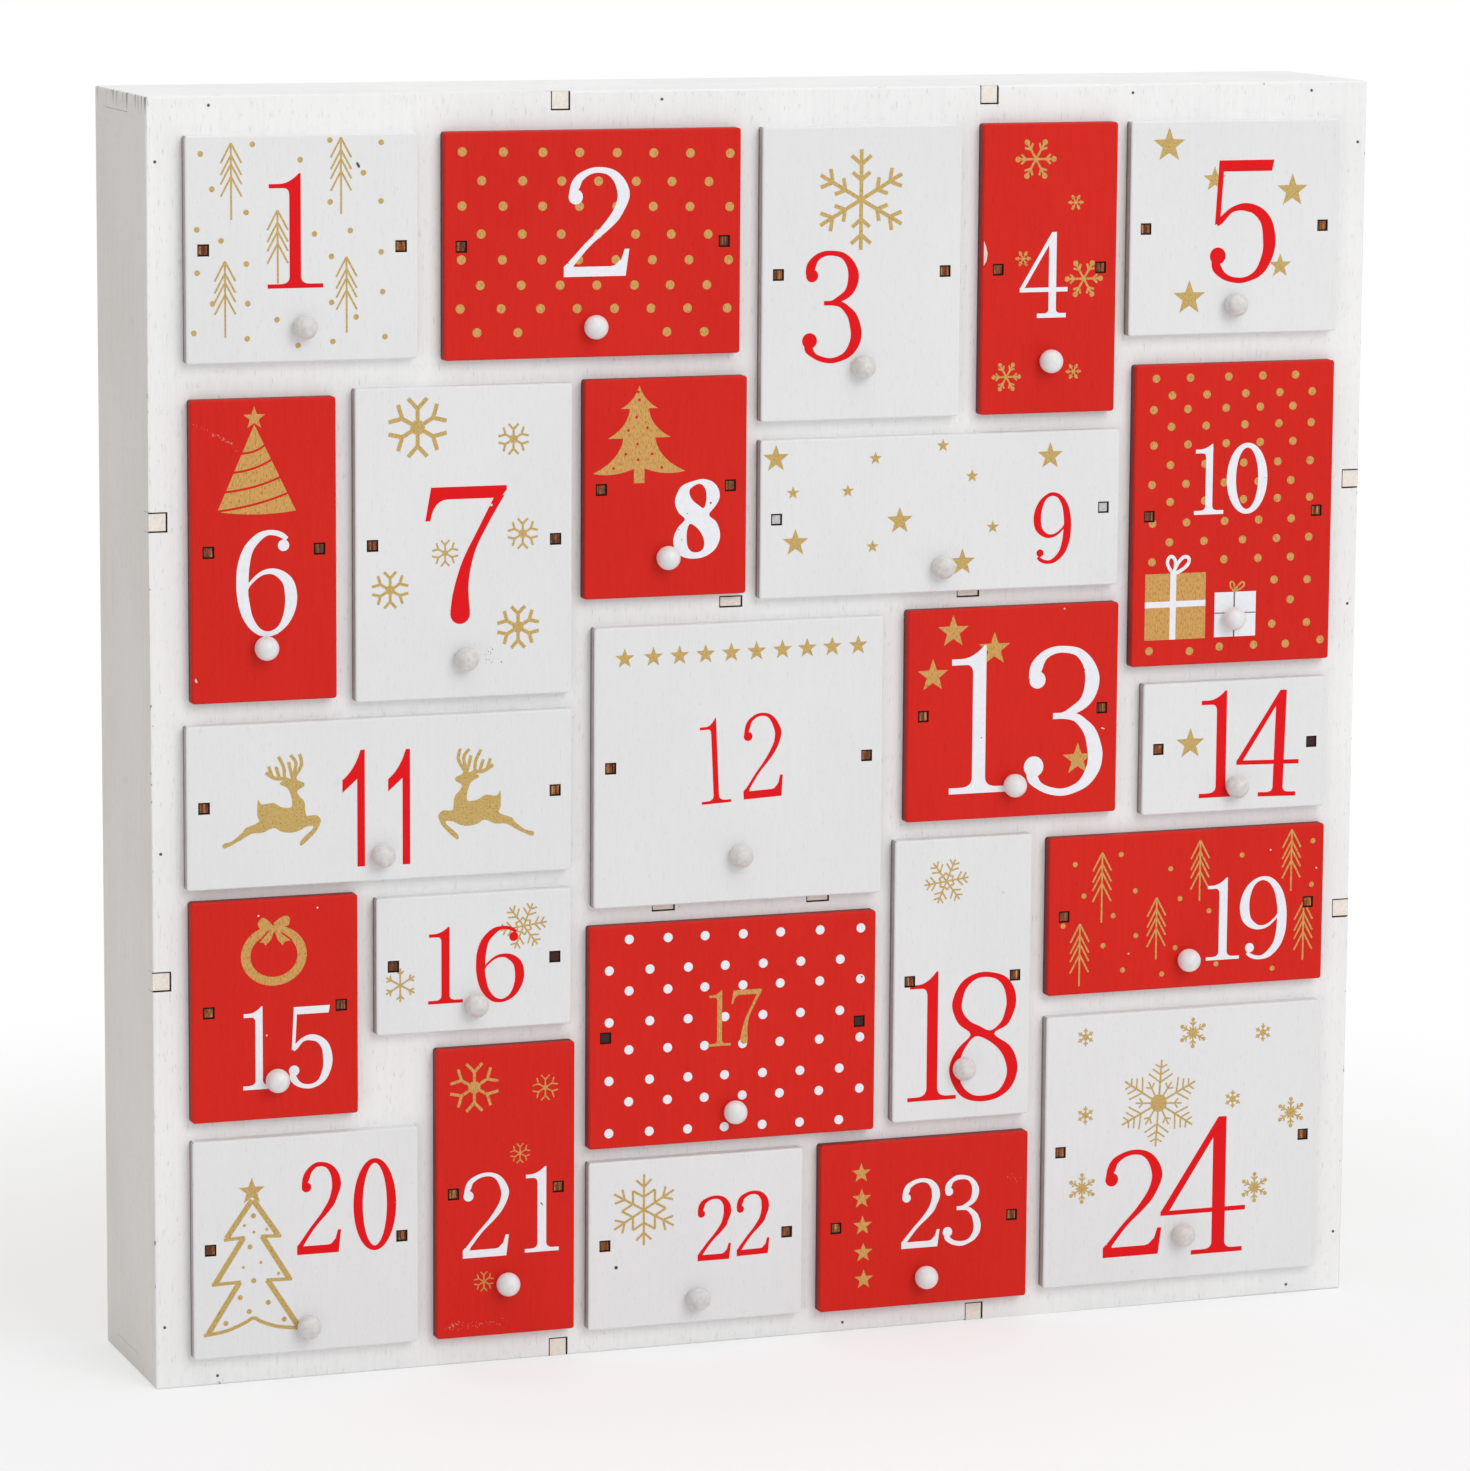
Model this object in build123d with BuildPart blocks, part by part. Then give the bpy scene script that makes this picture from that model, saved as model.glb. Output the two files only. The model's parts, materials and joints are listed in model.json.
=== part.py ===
# Wooden advent calendar: a flat case of tabbed boards with 24 drawers in its face.
# Millimetres, +Z up, the drawers face -Y, the origin is under the middle of the whole object.

import os

from build123d import *

# Boards
case_board = 5.0  # walls, top and bottom
face_board = 5.0
back_board = 3.0
base_board = 4.0  # lies on the bottom panel, under the lowest drawers
divider_board = 3.0  # shelves and uprights
front_board = 3.5
tray_board = 3.0
inner_depth = 46.0  # between the face board and the back board

# Bays across, between the middles of the uprights that part them
bay_1_width = 71.5
bay_2_width = 90.5
bay_3_width = 63.0
bay_4_width = 46.0
bay_5_width = 69.0
bay_6_width = 47.8
bay_7_width = 65.7
bay_12_width = 90.0
bay_15_width = 53.3
blank_width = 16.8  # the blank patch between drawers 15, 16, 20 and 21
bay_18_width = 45.0
bay_22_width = 67.7

# Bays upwards, from the top of one shelf to the top of the next
bay_20_height = 64.8
blank_height = 20.7
bay_15_height = 63.2
bay_11_height = 50.0
bay_7_height = 90.0
bay_1_height = 64.0  # up to the top panel
bay_22_height = 51.0
bay_17_height = 65.6
bay_12_height = 83.0
bay_9_height = 48.4
bay_24_height = 84.0
bay_19_height = 51.6
bay_14_height = 40.4
bay_10_height = 92.5

# Drawer fronts in their bays
upright_reveal = 2.6  # from the middle of an upright to the front's edge
wall_reveal = 4.7  # from the inside of a wall to the front's edge
shelf_reveal = 2.8  # from the underside of a shelf to the front's top
top_reveal = 5.2  # from the underside of the top panel to the front's top
overhang = 0.8  # the front's lower edge hangs this far below what the tray slides on
drawer_8_packing = 1.9  # strip on the shelf under drawer 8, which sits higher than drawer 9 beside it
corner_ease = 0.8
edge_ease = 0.5

# How much more, or less, single fronts stand in from their bay; below is further down
trims = {
    1: dict(right=1.0),
    2: dict(left=1.0, right=1.0, below=1.0),
    4: dict(left=1.0),
    5: dict(left=-1.2),
    6: dict(left=0.8, above=4.5),
    7: dict(below=1.5, above=2.7),
    8: dict(left=-1.7, right=-1.2, above=2.2),
    9: dict(right=-2.0),
    10: dict(left=1.3, above=3.2),
    11: dict(left=-0.9, above=0.9),
    12: dict(left=1.2, above=1.0),
    13: dict(left=2.0, right=-2.5),
    14: dict(left=5.3, below=1.7),
    15: dict(above=-1.7),
    17: dict(right=1.4, below=1.3),
    18: dict(left=-1.1),
    19: dict(above=1.8),
    21: dict(right=-1.1),
    22: dict(below=1.1),
    23: dict(below=1.5),
    24: dict(above=1.1),
}

# Drawer trays
tray_inset = 3.2  # from the front's edge to the tray's side
tray_drop = 3.2  # from the front's top to the tray's top
tray_back_gap = 2.0  # between the tray and the back board
side_gap = 0.6  # between the tray and the opening's sides
top_gap = 0.8  # between the tray and the opening's top
slide_gap = 0.3  # between the tray and the shelf that it slides on
front_tab = 3.0  # height of the tab of a tray side in the front
tab_recess = 0.4  # the tab ends this far behind the face that it comes through
back_tenon = 10.0
floor_tenon = 12.0

# Knobs: balls that are flat where they sit on the front, and how high they sit
ball_radius = 3.25
seat_radius = 2.35
dowel_radius = 1.5
dowel_gap = 0.05
tall_knob_rise = 14.5
large_knob_rise = 12.8
middle_knob_rise = 10.8
plain_knob_rise = 9.2
small_knob_rise = 8.2
low_knob_rise = 7.1
ball_middle = (ball_radius**2 - seat_radius**2) ** 0.5  # from the front's face to the ball's middle
knob_reach = ball_middle + ball_radius

# Joints between boards
joint_gap = 0.1  # a slot is larger than its tab by this much on each side
wall_tab = 5.2  # the walls' tabs in the face board
wall_tab_spacing = 123.0
corner_tab = 23.0  # the top and bottom panels' tabs in the side walls
corner_tab_back = 12.0  # from the rear to that tab
divider_tenon = 14.0
face_tab = 6.5  # the middle shelves' tabs in the face board
shelf_8_tab_inset = 44.0
shelf_12_left_tab_inset = 25.0
shelf_12_right_tab_inset = 20.0

# Panel pins
pin_radius = 0.4
pin_length = 14.0
pin_gap = 0.02
pin_corner = 17.0  # from the outside of the case to the first pin
top_pin_left = 33.0  # from the middle
top_pin_right = 104.0
bottom_pin = 22.0
left_pin_height = 146.0
right_pin_height = 199.0

# Depths
case_depth = face_board + inner_depth + back_board
y_rear = (knob_reach + front_board + case_depth) / 2
y_back = y_rear - back_board
y_inner = y_back - inner_depth
y_face = y_inner - face_board
y_front = y_face - front_board
y_tray_back = y_back - tray_back_gap

# Uprights: the middle of each board
inner_width = bay_1_width + bay_2_width + bay_3_width + bay_4_width + bay_5_width
x_left = -inner_width / 2
x_right = inner_width / 2
upright_x = {}
upright_x["1_2"] = x_left + bay_1_width
upright_x["2_3"] = upright_x["1_2"] + bay_2_width
upright_x["3_4"] = upright_x["2_3"] + bay_3_width
upright_x["4_5"] = upright_x["3_4"] + bay_4_width
upright_x["6_7"] = x_left + bay_6_width
upright_x["7_8"] = upright_x["6_7"] + bay_7_width
upright_x["12_13"] = upright_x["7_8"] + bay_12_width
upright_x["15_16"] = x_left + bay_15_width
upright_x["20_21"] = upright_x["15_16"] + blank_width
upright_x["18_19"] = upright_x["12_13"] + bay_18_width
upright_x["22_23"] = upright_x["7_8"] + bay_22_width

# Shelves: the top of each board
z_base = case_board + base_board
shelf_z = {"base": z_base}
shelf_z["15"] = z_base + bay_20_height
shelf_z["16"] = shelf_z["15"] + blank_height
shelf_z["11"] = shelf_z["15"] + bay_15_height
shelf_z["6_7"] = shelf_z["11"] + bay_11_height
shelf_z["1_2"] = shelf_z["6_7"] + bay_7_height
shelf_z["17_18"] = z_base + bay_22_height
shelf_z["12"] = shelf_z["17_18"] + bay_17_height
shelf_z["8_9"] = shelf_z["12"] + bay_12_height
shelf_z["3_4"] = shelf_z["8_9"] + bay_9_height
shelf_z["19"] = z_base + bay_24_height
shelf_z["13_14"] = shelf_z["19"] + bay_19_height
shelf_z["10"] = shelf_z["13_14"] + bay_14_height
shelf_z["5"] = shelf_z["10"] + bay_10_height
z_top = shelf_z["1_2"] + bay_1_height
case_width = inner_width + 2 * case_board
case_height = z_top + case_board

# Each shelf runs from one upright, or wall, to another
shelf_ends = {
    "1_2": ("left", "2_3"),
    "6_7": ("left", "7_8"),
    "11": ("left", "7_8"),
    "15": ("left", "20_21"),
    "16": ("15_16", "7_8"),
    "3_4": ("2_3", "4_5"),
    "8_9": ("7_8", "4_5"),
    "12": ("7_8", "12_13"),
    "17_18": ("7_8", "18_19"),
    "5": ("4_5", "right"),
    "10": ("4_5", "right"),
    "13_14": ("12_13", "right"),
    "19": ("18_19", "right"),
}
shelf_groups = {
    "left_shelves": ("1_2", "6_7", "11", "15", "16"),
    "middle_shelves": ("3_4", "8_9", "12", "17_18"),
    "right_shelves": ("5", "10", "13_14", "19"),
}

# Each upright stands on one shelf and reaches up to another, or to the top panel
upright_ends = {
    "1_2": ("1_2", "top"),
    "2_3": ("8_9", "top"),
    "3_4": ("3_4", "top"),
    "4_5": ("13_14", "top"),
    "6_7": ("6_7", "1_2"),
    "7_8": ("base", "1_2"),
    "12_13": ("17_18", "8_9"),
    "15_16": ("15", "11"),
    "20_21": ("base", "16"),
    "18_19": ("base", "13_14"),
    "22_23": ("base", "17_18"),
}

# Each drawer: the uprights left and right of it, the shelves under and over it, and its knob's rise
drawers = {
    1: ("left", "1_2", "1_2", "top", plain_knob_rise),
    2: ("1_2", "2_3", "1_2", "top", small_knob_rise),
    3: ("2_3", "3_4", "3_4", "top", tall_knob_rise),
    4: ("3_4", "4_5", "3_4", "top", tall_knob_rise),
    5: ("4_5", "right", "5", "top", small_knob_rise),
    6: ("left", "6_7", "6_7", "1_2", tall_knob_rise),
    7: ("6_7", "7_8", "6_7", "1_2", middle_knob_rise),
    8: ("7_8", "2_3", "8_9", "1_2", middle_knob_rise),
    9: ("2_3", "4_5", "8_9", "3_4", low_knob_rise),
    10: ("4_5", "right", "10", "5", large_knob_rise),
    11: ("left", "7_8", "11", "6_7", low_knob_rise),
    12: ("7_8", "12_13", "12", "8_9", large_knob_rise),
    13: ("12_13", "4_5", "13_14", "8_9", plain_knob_rise),
    14: ("4_5", "right", "13_14", "10", low_knob_rise),
    15: ("left", "15_16", "15", "11", middle_knob_rise),
    16: ("15_16", "7_8", "16", "11", low_knob_rise),
    17: ("7_8", "12_13", "17_18", "12", small_knob_rise),
    18: ("12_13", "18_19", "17_18", "13_14", tall_knob_rise),
    19: ("18_19", "right", "19", "13_14", small_knob_rise),
    20: ("left", "20_21", "base", "15", low_knob_rise),
    21: ("20_21", "7_8", "base", "16", tall_knob_rise),
    22: ("7_8", "22_23", "base", "17_18", low_knob_rise),
    23: ("22_23", "18_19", "base", "17_18", small_knob_rise),
    24: ("18_19", "right", "base", "19", large_knob_rise),
}
packing = {8: drawer_8_packing}


def front_edges(number):
    """Left, right, lower and upper edge of a drawer's front."""
    left, right, under, over, _ = drawers[number]
    trim = trims.get(number, {})
    x_0 = x_left + wall_reveal if left == "left" else upright_x[left] + upright_reveal
    x_1 = x_right - wall_reveal if right == "right" else upright_x[right] - upright_reveal
    z_0 = shelf_z[under] + packing.get(number, 0) - overhang
    z_1 = z_top - top_reveal if over == "top" else shelf_z[over] - divider_board - shelf_reveal
    x_0 += trim.get("left", 0)
    x_1 -= trim.get("right", 0)
    z_0 -= trim.get("below", 0)
    z_1 -= trim.get("above", 0)
    return x_0, x_1, z_0, z_1


def tray_edges(number):
    """Left, right, lower and upper edge of a drawer's tray."""
    x_0, x_1, _, z_1 = front_edges(number)
    z_0 = shelf_z[drawers[number][2]] + packing.get(number, 0) + slide_gap
    return x_0 + tray_inset, x_1 - tray_inset, z_0, z_1 - tray_drop


def tray_hollow(number):
    """Lowest and highest corner of the space inside a drawer."""
    x_0, x_1, z_0, z_1 = tray_edges(number)
    low = (x_0 + tray_board, y_face, z_0 + tray_board)
    high = (x_1 - tray_board, y_tray_back - tray_board, z_1)
    return low, high


def rect(u_0, u_1, v_0, v_1, mode=Mode.ADD):
    """A rectangle between two edges each way, in the sketch that is open."""
    with Locations(((u_0 + u_1) / 2, (v_0 + v_1) / 2)):
        Rectangle(u_1 - u_0, v_1 - v_0, mode=mode)


def cut_board(plane, thickness, outline, tabs=(), slots=()):
    """A flat board with tabs on its edges and slots cut through it."""
    with BuildPart() as board:
        with BuildSketch(plane):
            rect(*outline)
            for tab in tabs:
                rect(*tab)
            for slot in slots:
                rect(*slot, mode=Mode.SUBTRACT)
        extrude(amount=thickness)
    return board.part


def facing(y):
    """The plane of a board that faces the front, whose thickness runs towards the rear."""
    return Plane((0, y, 0), x_dir=(-1, 0, 0), z_dir=(0, 1, 0))


def mirrored(u_0, u_1, v_0, v_1):
    """Edges of a rectangle as seen from the rear."""
    return -u_1, -u_0, v_0, v_1


def grown(u_0, u_1, v_0, v_1):
    """The slot for a tab of this outline."""
    return u_0 - joint_gap, u_1 + joint_gap, v_0 - joint_gap, v_1 + joint_gap


def write(node, solids):
    """Writes the solids of one node to its file."""
    if len(solids) == 1:
        piece = solids[0]
    else:
        piece = Compound(children=solids)
    piece.label = node
    export_step(piece, f"parts/{node}.step")


os.makedirs("parts", exist_ok=True)

# Places of the walls' tabs in the face board, across and upwards
tab_x = (-wall_tab_spacing / 2, wall_tab_spacing / 2)
tab_z = (case_height / 2 - wall_tab_spacing / 2, case_height / 2 + wall_tab_spacing / 2)
x_outer = case_width / 2
corner_tab_y = (y_rear - corner_tab_back - corner_tab, y_rear - corner_tab_back)
tenon_y = (y_inner + (inner_depth - divider_tenon) / 2, y_inner + (inner_depth + divider_tenon) / 2)

# Panel pins: middle of each in the face, and the wall that it goes into
pin_x = x_outer - case_board / 2
pin_points = {
    "top_panel": [
        (x, case_height - case_board / 2)
        for x in (pin_corner - x_outer, -top_pin_left, top_pin_right, x_outer - pin_corner)
    ],
    "bottom_panel": [(x, case_board / 2) for x in (pin_corner - x_outer, bottom_pin, x_outer - pin_corner)],
    "left_wall": [(-pin_x, z) for z in (pin_corner, left_pin_height, case_height - pin_corner)],
    "right_wall": [(pin_x, z) for z in (pin_corner, right_pin_height, case_height - pin_corner)],
}

pins = []
for points in pin_points.values():
    for x, z in points:
        with BuildPart() as pin:
            with BuildSketch(facing(y_face)):
                with Locations((-x, z)):
                    Circle(pin_radius)
            extrude(amount=pin_length)
        pins.append(pin.part)
write("panel_pins", pins)


# Shelf tabs that come through the face board
face_tabs = {
    "8_9": (
        upright_x["7_8"] + shelf_8_tab_inset,
        upright_x["4_5"] - shelf_8_tab_inset,
    ),
    "12": (
        upright_x["7_8"] + shelf_12_left_tab_inset,
        upright_x["12_13"] - shelf_12_right_tab_inset,
    ),
}

# Face board: openings for the trays, notches for the walls' tabs, slots for the shelves' tabs
with BuildPart() as face:
    with BuildSketch(facing(y_face)):
        rect(-x_outer, x_outer, 0, case_height)
        for number in drawers:
            x_0, x_1, z_0, z_1 = tray_edges(number)
            opening = (x_0 - side_gap, x_1 + side_gap, z_0 - slide_gap, z_1 + top_gap)
            rect(*mirrored(*opening), mode=Mode.SUBTRACT)
        for x in tab_x:
            notch = grown(x - wall_tab / 2, x + wall_tab / 2, 0, case_board)
            rect(*notch, mode=Mode.SUBTRACT)
            notch = grown(x - wall_tab / 2, x + wall_tab / 2, case_height - case_board, case_height)
            rect(*notch, mode=Mode.SUBTRACT)
        for z in tab_z:
            notch = grown(-x_outer, case_board - x_outer, z - wall_tab / 2, z + wall_tab / 2)
            rect(*notch, mode=Mode.SUBTRACT)
            rect(*mirrored(*notch), mode=Mode.SUBTRACT)
        for shelf, places in face_tabs.items():
            for x in places:
                tab = (x - face_tab / 2, x + face_tab / 2, shelf_z[shelf] - divider_board, shelf_z[shelf])
                rect(*mirrored(*grown(*tab)), mode=Mode.SUBTRACT)
        with Locations(*[(-x, z) for points in pin_points.values() for x, z in points]):
            Circle(pin_radius + pin_gap, mode=Mode.SUBTRACT)
    extrude(amount=face_board)
write("face_board", [face.part])


def pinned(board, name):
    """Bores the holes for the panel pins in the front edge of a wall or panel."""
    with BuildPart() as bored:
        add(board)
        with BuildSketch(facing(y_inner)):
            with Locations(*[(-x, z) for x, z in pin_points[name]]):
                Circle(pin_radius + pin_gap)
        extrude(amount=pin_length - face_board, mode=Mode.SUBTRACT)
    return bored.part


# Side walls: two tabs into the face board, a notch above and below for the panels' corner tabs
wall_tabs = [(y_face + tab_recess, y_inner, z - wall_tab / 2, z + wall_tab / 2) for z in tab_z]
wall_notches = [
    grown(*corner_tab_y, 0, case_board),
    grown(*corner_tab_y, case_height - case_board, case_height),
]
for name, x in (("left_wall", -x_outer), ("right_wall", x_outer - case_board)):
    outline = (y_inner, y_rear, 0, case_height)
    wall = cut_board(Plane.YZ.offset(x), case_board, outline, wall_tabs, wall_notches)
    write(name, [pinned(wall, name)])

# Top and bottom panels, between the side walls
for name, z in (("bottom_panel", 0), ("top_panel", z_top)):
    tabs = [(x - wall_tab / 2, x + wall_tab / 2, y_face + tab_recess, y_inner) for x in tab_x]
    tabs.append((-x_outer, x_left, *corner_tab_y))
    tabs.append((x_right, x_outer, *corner_tab_y))
    outline = (x_left, x_right, y_inner, y_rear)
    panel = cut_board(Plane.XY.offset(z), case_board, outline, tabs)
    write(name, [pinned(panel, name)])

# Back board, let in flush between walls and panels
back = cut_board(facing(y_back), back_board, (x_left, x_right, case_board, z_top))
write("back_board", [back])


def upright_slots(shelf):
    """Slots in a shelf for the tenons of the uprights that end on it."""
    places = [upright_x[name] for name, ends in upright_ends.items() if shelf in ends]
    half = divider_board / 2
    return [grown(x - half, x + half, *tenon_y) for x in places]


# Base board under the lowest drawers
outline = (x_left, x_right, y_inner, y_back)
base = cut_board(Plane.XY.offset(case_board), base_board, outline, slots=upright_slots("base"))
write("base_board", [base])

# Shelves: a tenon at each end that meets an upright, slots for the uprights above and below,
# and a packing strip on top where a drawer sits higher
for node, names in shelf_groups.items():
    shelves = []
    for name in names:
        left, right = shelf_ends[name]
        x_0 = x_left
        x_1 = x_right
        tabs = []
        if left != "left":
            x_0 = upright_x[left] + divider_board / 2
            tabs.append((x_0 - divider_board, x_0, *tenon_y))
        if right != "right":
            x_1 = upright_x[right] - divider_board / 2
            tabs.append((x_1, x_1 + divider_board, *tenon_y))
        for x in face_tabs.get(name, ()):
            tabs.append((x - face_tab / 2, x + face_tab / 2, y_face + tab_recess, y_inner))
        plane = Plane.XY.offset(shelf_z[name] - divider_board)
        outline = (x_0, x_1, y_inner, y_back)
        shelves.append(cut_board(plane, divider_board, outline, tabs, upright_slots(name)))
    for number, rise in packing.items():
        left, right, under, _, _ = drawers[number]
        if under in names:
            x_0 = upright_x[left] + divider_board / 2
            x_1 = upright_x[right] - divider_board / 2
            plane = Plane.XY.offset(shelf_z[under])
            shelves.append(cut_board(plane, rise, (x_0, x_1, y_inner, y_back)))
    write(node, shelves)

# Uprights: a tenon at each end that meets a shelf, slots for the shelves that end on them
uprights = []
for name, (under, over) in upright_ends.items():
    z_0 = shelf_z[under]
    tenon_length = base_board if under == "base" else divider_board
    tabs = [(*tenon_y, z_0 - tenon_length, z_0)]
    z_1 = z_top
    if over != "top":
        z_1 = shelf_z[over] - divider_board
        tabs.append((*tenon_y, z_1, z_1 + divider_board))
    meeting = [shelf_z[shelf] for shelf, ends in shelf_ends.items() if name in ends]
    slots = [grown(*tenon_y, z - divider_board, z) for z in meeting]
    plane = Plane.YZ.offset(upright_x[name] - divider_board / 2)
    uprights.append(cut_board(plane, divider_board, (y_inner, y_back, z_0, z_1), tabs, slots))
write("uprights", uprights)

# Drawers: a front with its knob, and a tray of two sides, a back and a floor
for number in drawers:
    x_0, x_1, z_0, z_1 = front_edges(number)
    side_0, side_1, floor_z, rim_z = tray_edges(number)
    middle_x = (x_0 + x_1) / 2
    tab_low = (z_0 + z_1 - front_tab) / 2
    tab_high = tab_low + front_tab
    knob_z = z_0 + drawers[number][4]

    with BuildPart() as front:
        with BuildSketch(facing(y_front)):
            rect(*mirrored(x_0, x_1, z_0, z_1))
            for x in (side_0, side_1 - tray_board):
                rect(*mirrored(*grown(x, x + tray_board, tab_low, tab_high)), mode=Mode.SUBTRACT)
            with Locations((-middle_x, knob_z)):
                Circle(dowel_radius + dowel_gap, mode=Mode.SUBTRACT)
        extrude(amount=front_board)
        across = front.edges().filter_by(Axis.Y).group_by(Axis.X)
        fillet(across[0] + across[-1], radius=corner_ease)
        fillet(front.faces().sort_by(Axis.Y)[0].outer_wire().edges(), radius=edge_ease)

    with BuildPart() as knob:
        with BuildSketch(Plane((middle_x, y_front, knob_z))):
            with BuildLine():
                Polyline(
                    (0, -knob_reach),
                    (0, front_board),
                    (dowel_radius, front_board),
                    (dowel_radius, 0),
                    (seat_radius, 0),
                )
                ThreePointArc((seat_radius, 0), (ball_radius, -ball_middle), (0, -knob_reach))
            make_face()
        revolve(axis=Axis((middle_x, y_front, knob_z), (0, 1, 0)))
    write(f"drawer_{number:02d}_front", [front.part, knob.part])

    # Tenons of the back and of the floor, in the tray's sides
    back_low = (floor_z + rim_z - back_tenon) / 2
    back_rise = (back_low, back_low + back_tenon)
    back_y = y_tray_back - tray_board
    floor_start = (y_face + back_y - floor_tenon) / 2
    floor_run = (floor_start, floor_start + floor_tenon)
    side_tab = (y_front + tab_recess, y_face, tab_low, tab_high)
    side_slots = [
        grown(back_y, y_tray_back, *back_rise),
        grown(*floor_run, floor_z, floor_z + tray_board),
    ]
    tray = []
    for x in (side_0, side_1 - tray_board):
        outline = (y_face, y_tray_back, floor_z, rim_z)
        tray.append(cut_board(Plane.YZ.offset(x), tray_board, outline, [side_tab], side_slots))
    inside = (side_0 + tray_board, side_1 - tray_board)
    tenons = [(side_0, inside[0], *back_rise), (inside[1], side_1, *back_rise)]
    outline = (*inside, floor_z, rim_z)
    rear = cut_board(
        facing(back_y), tray_board, mirrored(*outline), [mirrored(*tenon) for tenon in tenons]
    )
    tenons = [(side_0, inside[0], *floor_run), (inside[1], side_1, *floor_run)]
    floor = cut_board(Plane.XY.offset(floor_z), tray_board, (*inside, y_face, back_y), tenons)
    write(f"drawer_{number:02d}_tray", [*tray, rear, floor])

print("case", round(case_width, 1), round(case_height, 1), round(case_depth, 1))
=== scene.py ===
import json
import math
import random

import bmesh
import bpy
from mathutils import Matrix, Vector
from mathutils.geometry import convex_hull_2d, delaunay_2d_cdt


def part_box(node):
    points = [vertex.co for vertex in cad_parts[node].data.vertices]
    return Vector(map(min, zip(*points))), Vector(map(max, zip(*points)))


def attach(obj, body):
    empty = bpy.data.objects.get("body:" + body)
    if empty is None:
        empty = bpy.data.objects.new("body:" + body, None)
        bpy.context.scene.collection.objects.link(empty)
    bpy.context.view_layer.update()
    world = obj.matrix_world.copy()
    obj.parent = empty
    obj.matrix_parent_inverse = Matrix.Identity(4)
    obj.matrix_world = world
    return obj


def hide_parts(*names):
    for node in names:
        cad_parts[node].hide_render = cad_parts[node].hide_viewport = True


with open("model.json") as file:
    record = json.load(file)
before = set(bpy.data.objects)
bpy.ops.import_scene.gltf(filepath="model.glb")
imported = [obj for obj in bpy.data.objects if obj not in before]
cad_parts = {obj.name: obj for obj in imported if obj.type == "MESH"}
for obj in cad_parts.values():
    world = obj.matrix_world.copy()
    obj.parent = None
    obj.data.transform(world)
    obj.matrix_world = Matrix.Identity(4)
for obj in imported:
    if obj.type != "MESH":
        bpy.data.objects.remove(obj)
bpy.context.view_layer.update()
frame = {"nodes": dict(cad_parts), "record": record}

nodes = frame["nodes"]
slotOf = {part["node"]: part["material_slot"] for part in frame["record"]["subparts"]}
mm = 0.001
weld = 0.001 * mm  # corners nearer than this become one
facing = 0.9  # a face looks along an axis when its normal reaches this far along it
drawerNumbers = range(1, 25)
caseLow = Vector(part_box("face_board")[0])
caseHigh = Vector((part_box("face_board")[1].x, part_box("back_board")[1].y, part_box("face_board")[1].z))
faceY = caseLow.y
scene = bpy.context.scene
print("frame loaded:", len(nodes), "nodes")


# Shader sums: a socket that works in Python expressions

class Value:
    def __init__(self, finish, socket):
        self.finish = finish
        self.socket = socket

    def sum(self, operation, first, second=0.0):
        return self.finish.add("ShaderNodeMath", {"operation": operation}, {0: first, 1: second})

    def __add__(self, other):
        return self.sum("ADD", self, other)

    def __radd__(self, other):
        return self.sum("ADD", other, self)

    def __sub__(self, other):
        return self.sum("SUBTRACT", self, other)

    def __rsub__(self, other):
        return self.sum("SUBTRACT", other, self)

    def __mul__(self, other):
        return self.sum("MULTIPLY", self, other)

    def __rmul__(self, other):
        return self.sum("MULTIPLY", other, self)

    def __truediv__(self, other):
        return self.sum("DIVIDE", self, other)

    def __rtruediv__(self, other):
        return self.sum("DIVIDE", other, self)

    def __abs__(self):
        return self.sum("ABSOLUTE", self)

    def least(self, other):
        return self.sum("MINIMUM", self, other)

    def most(self, other):
        return self.sum("MAXIMUM", self, other)


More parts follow.
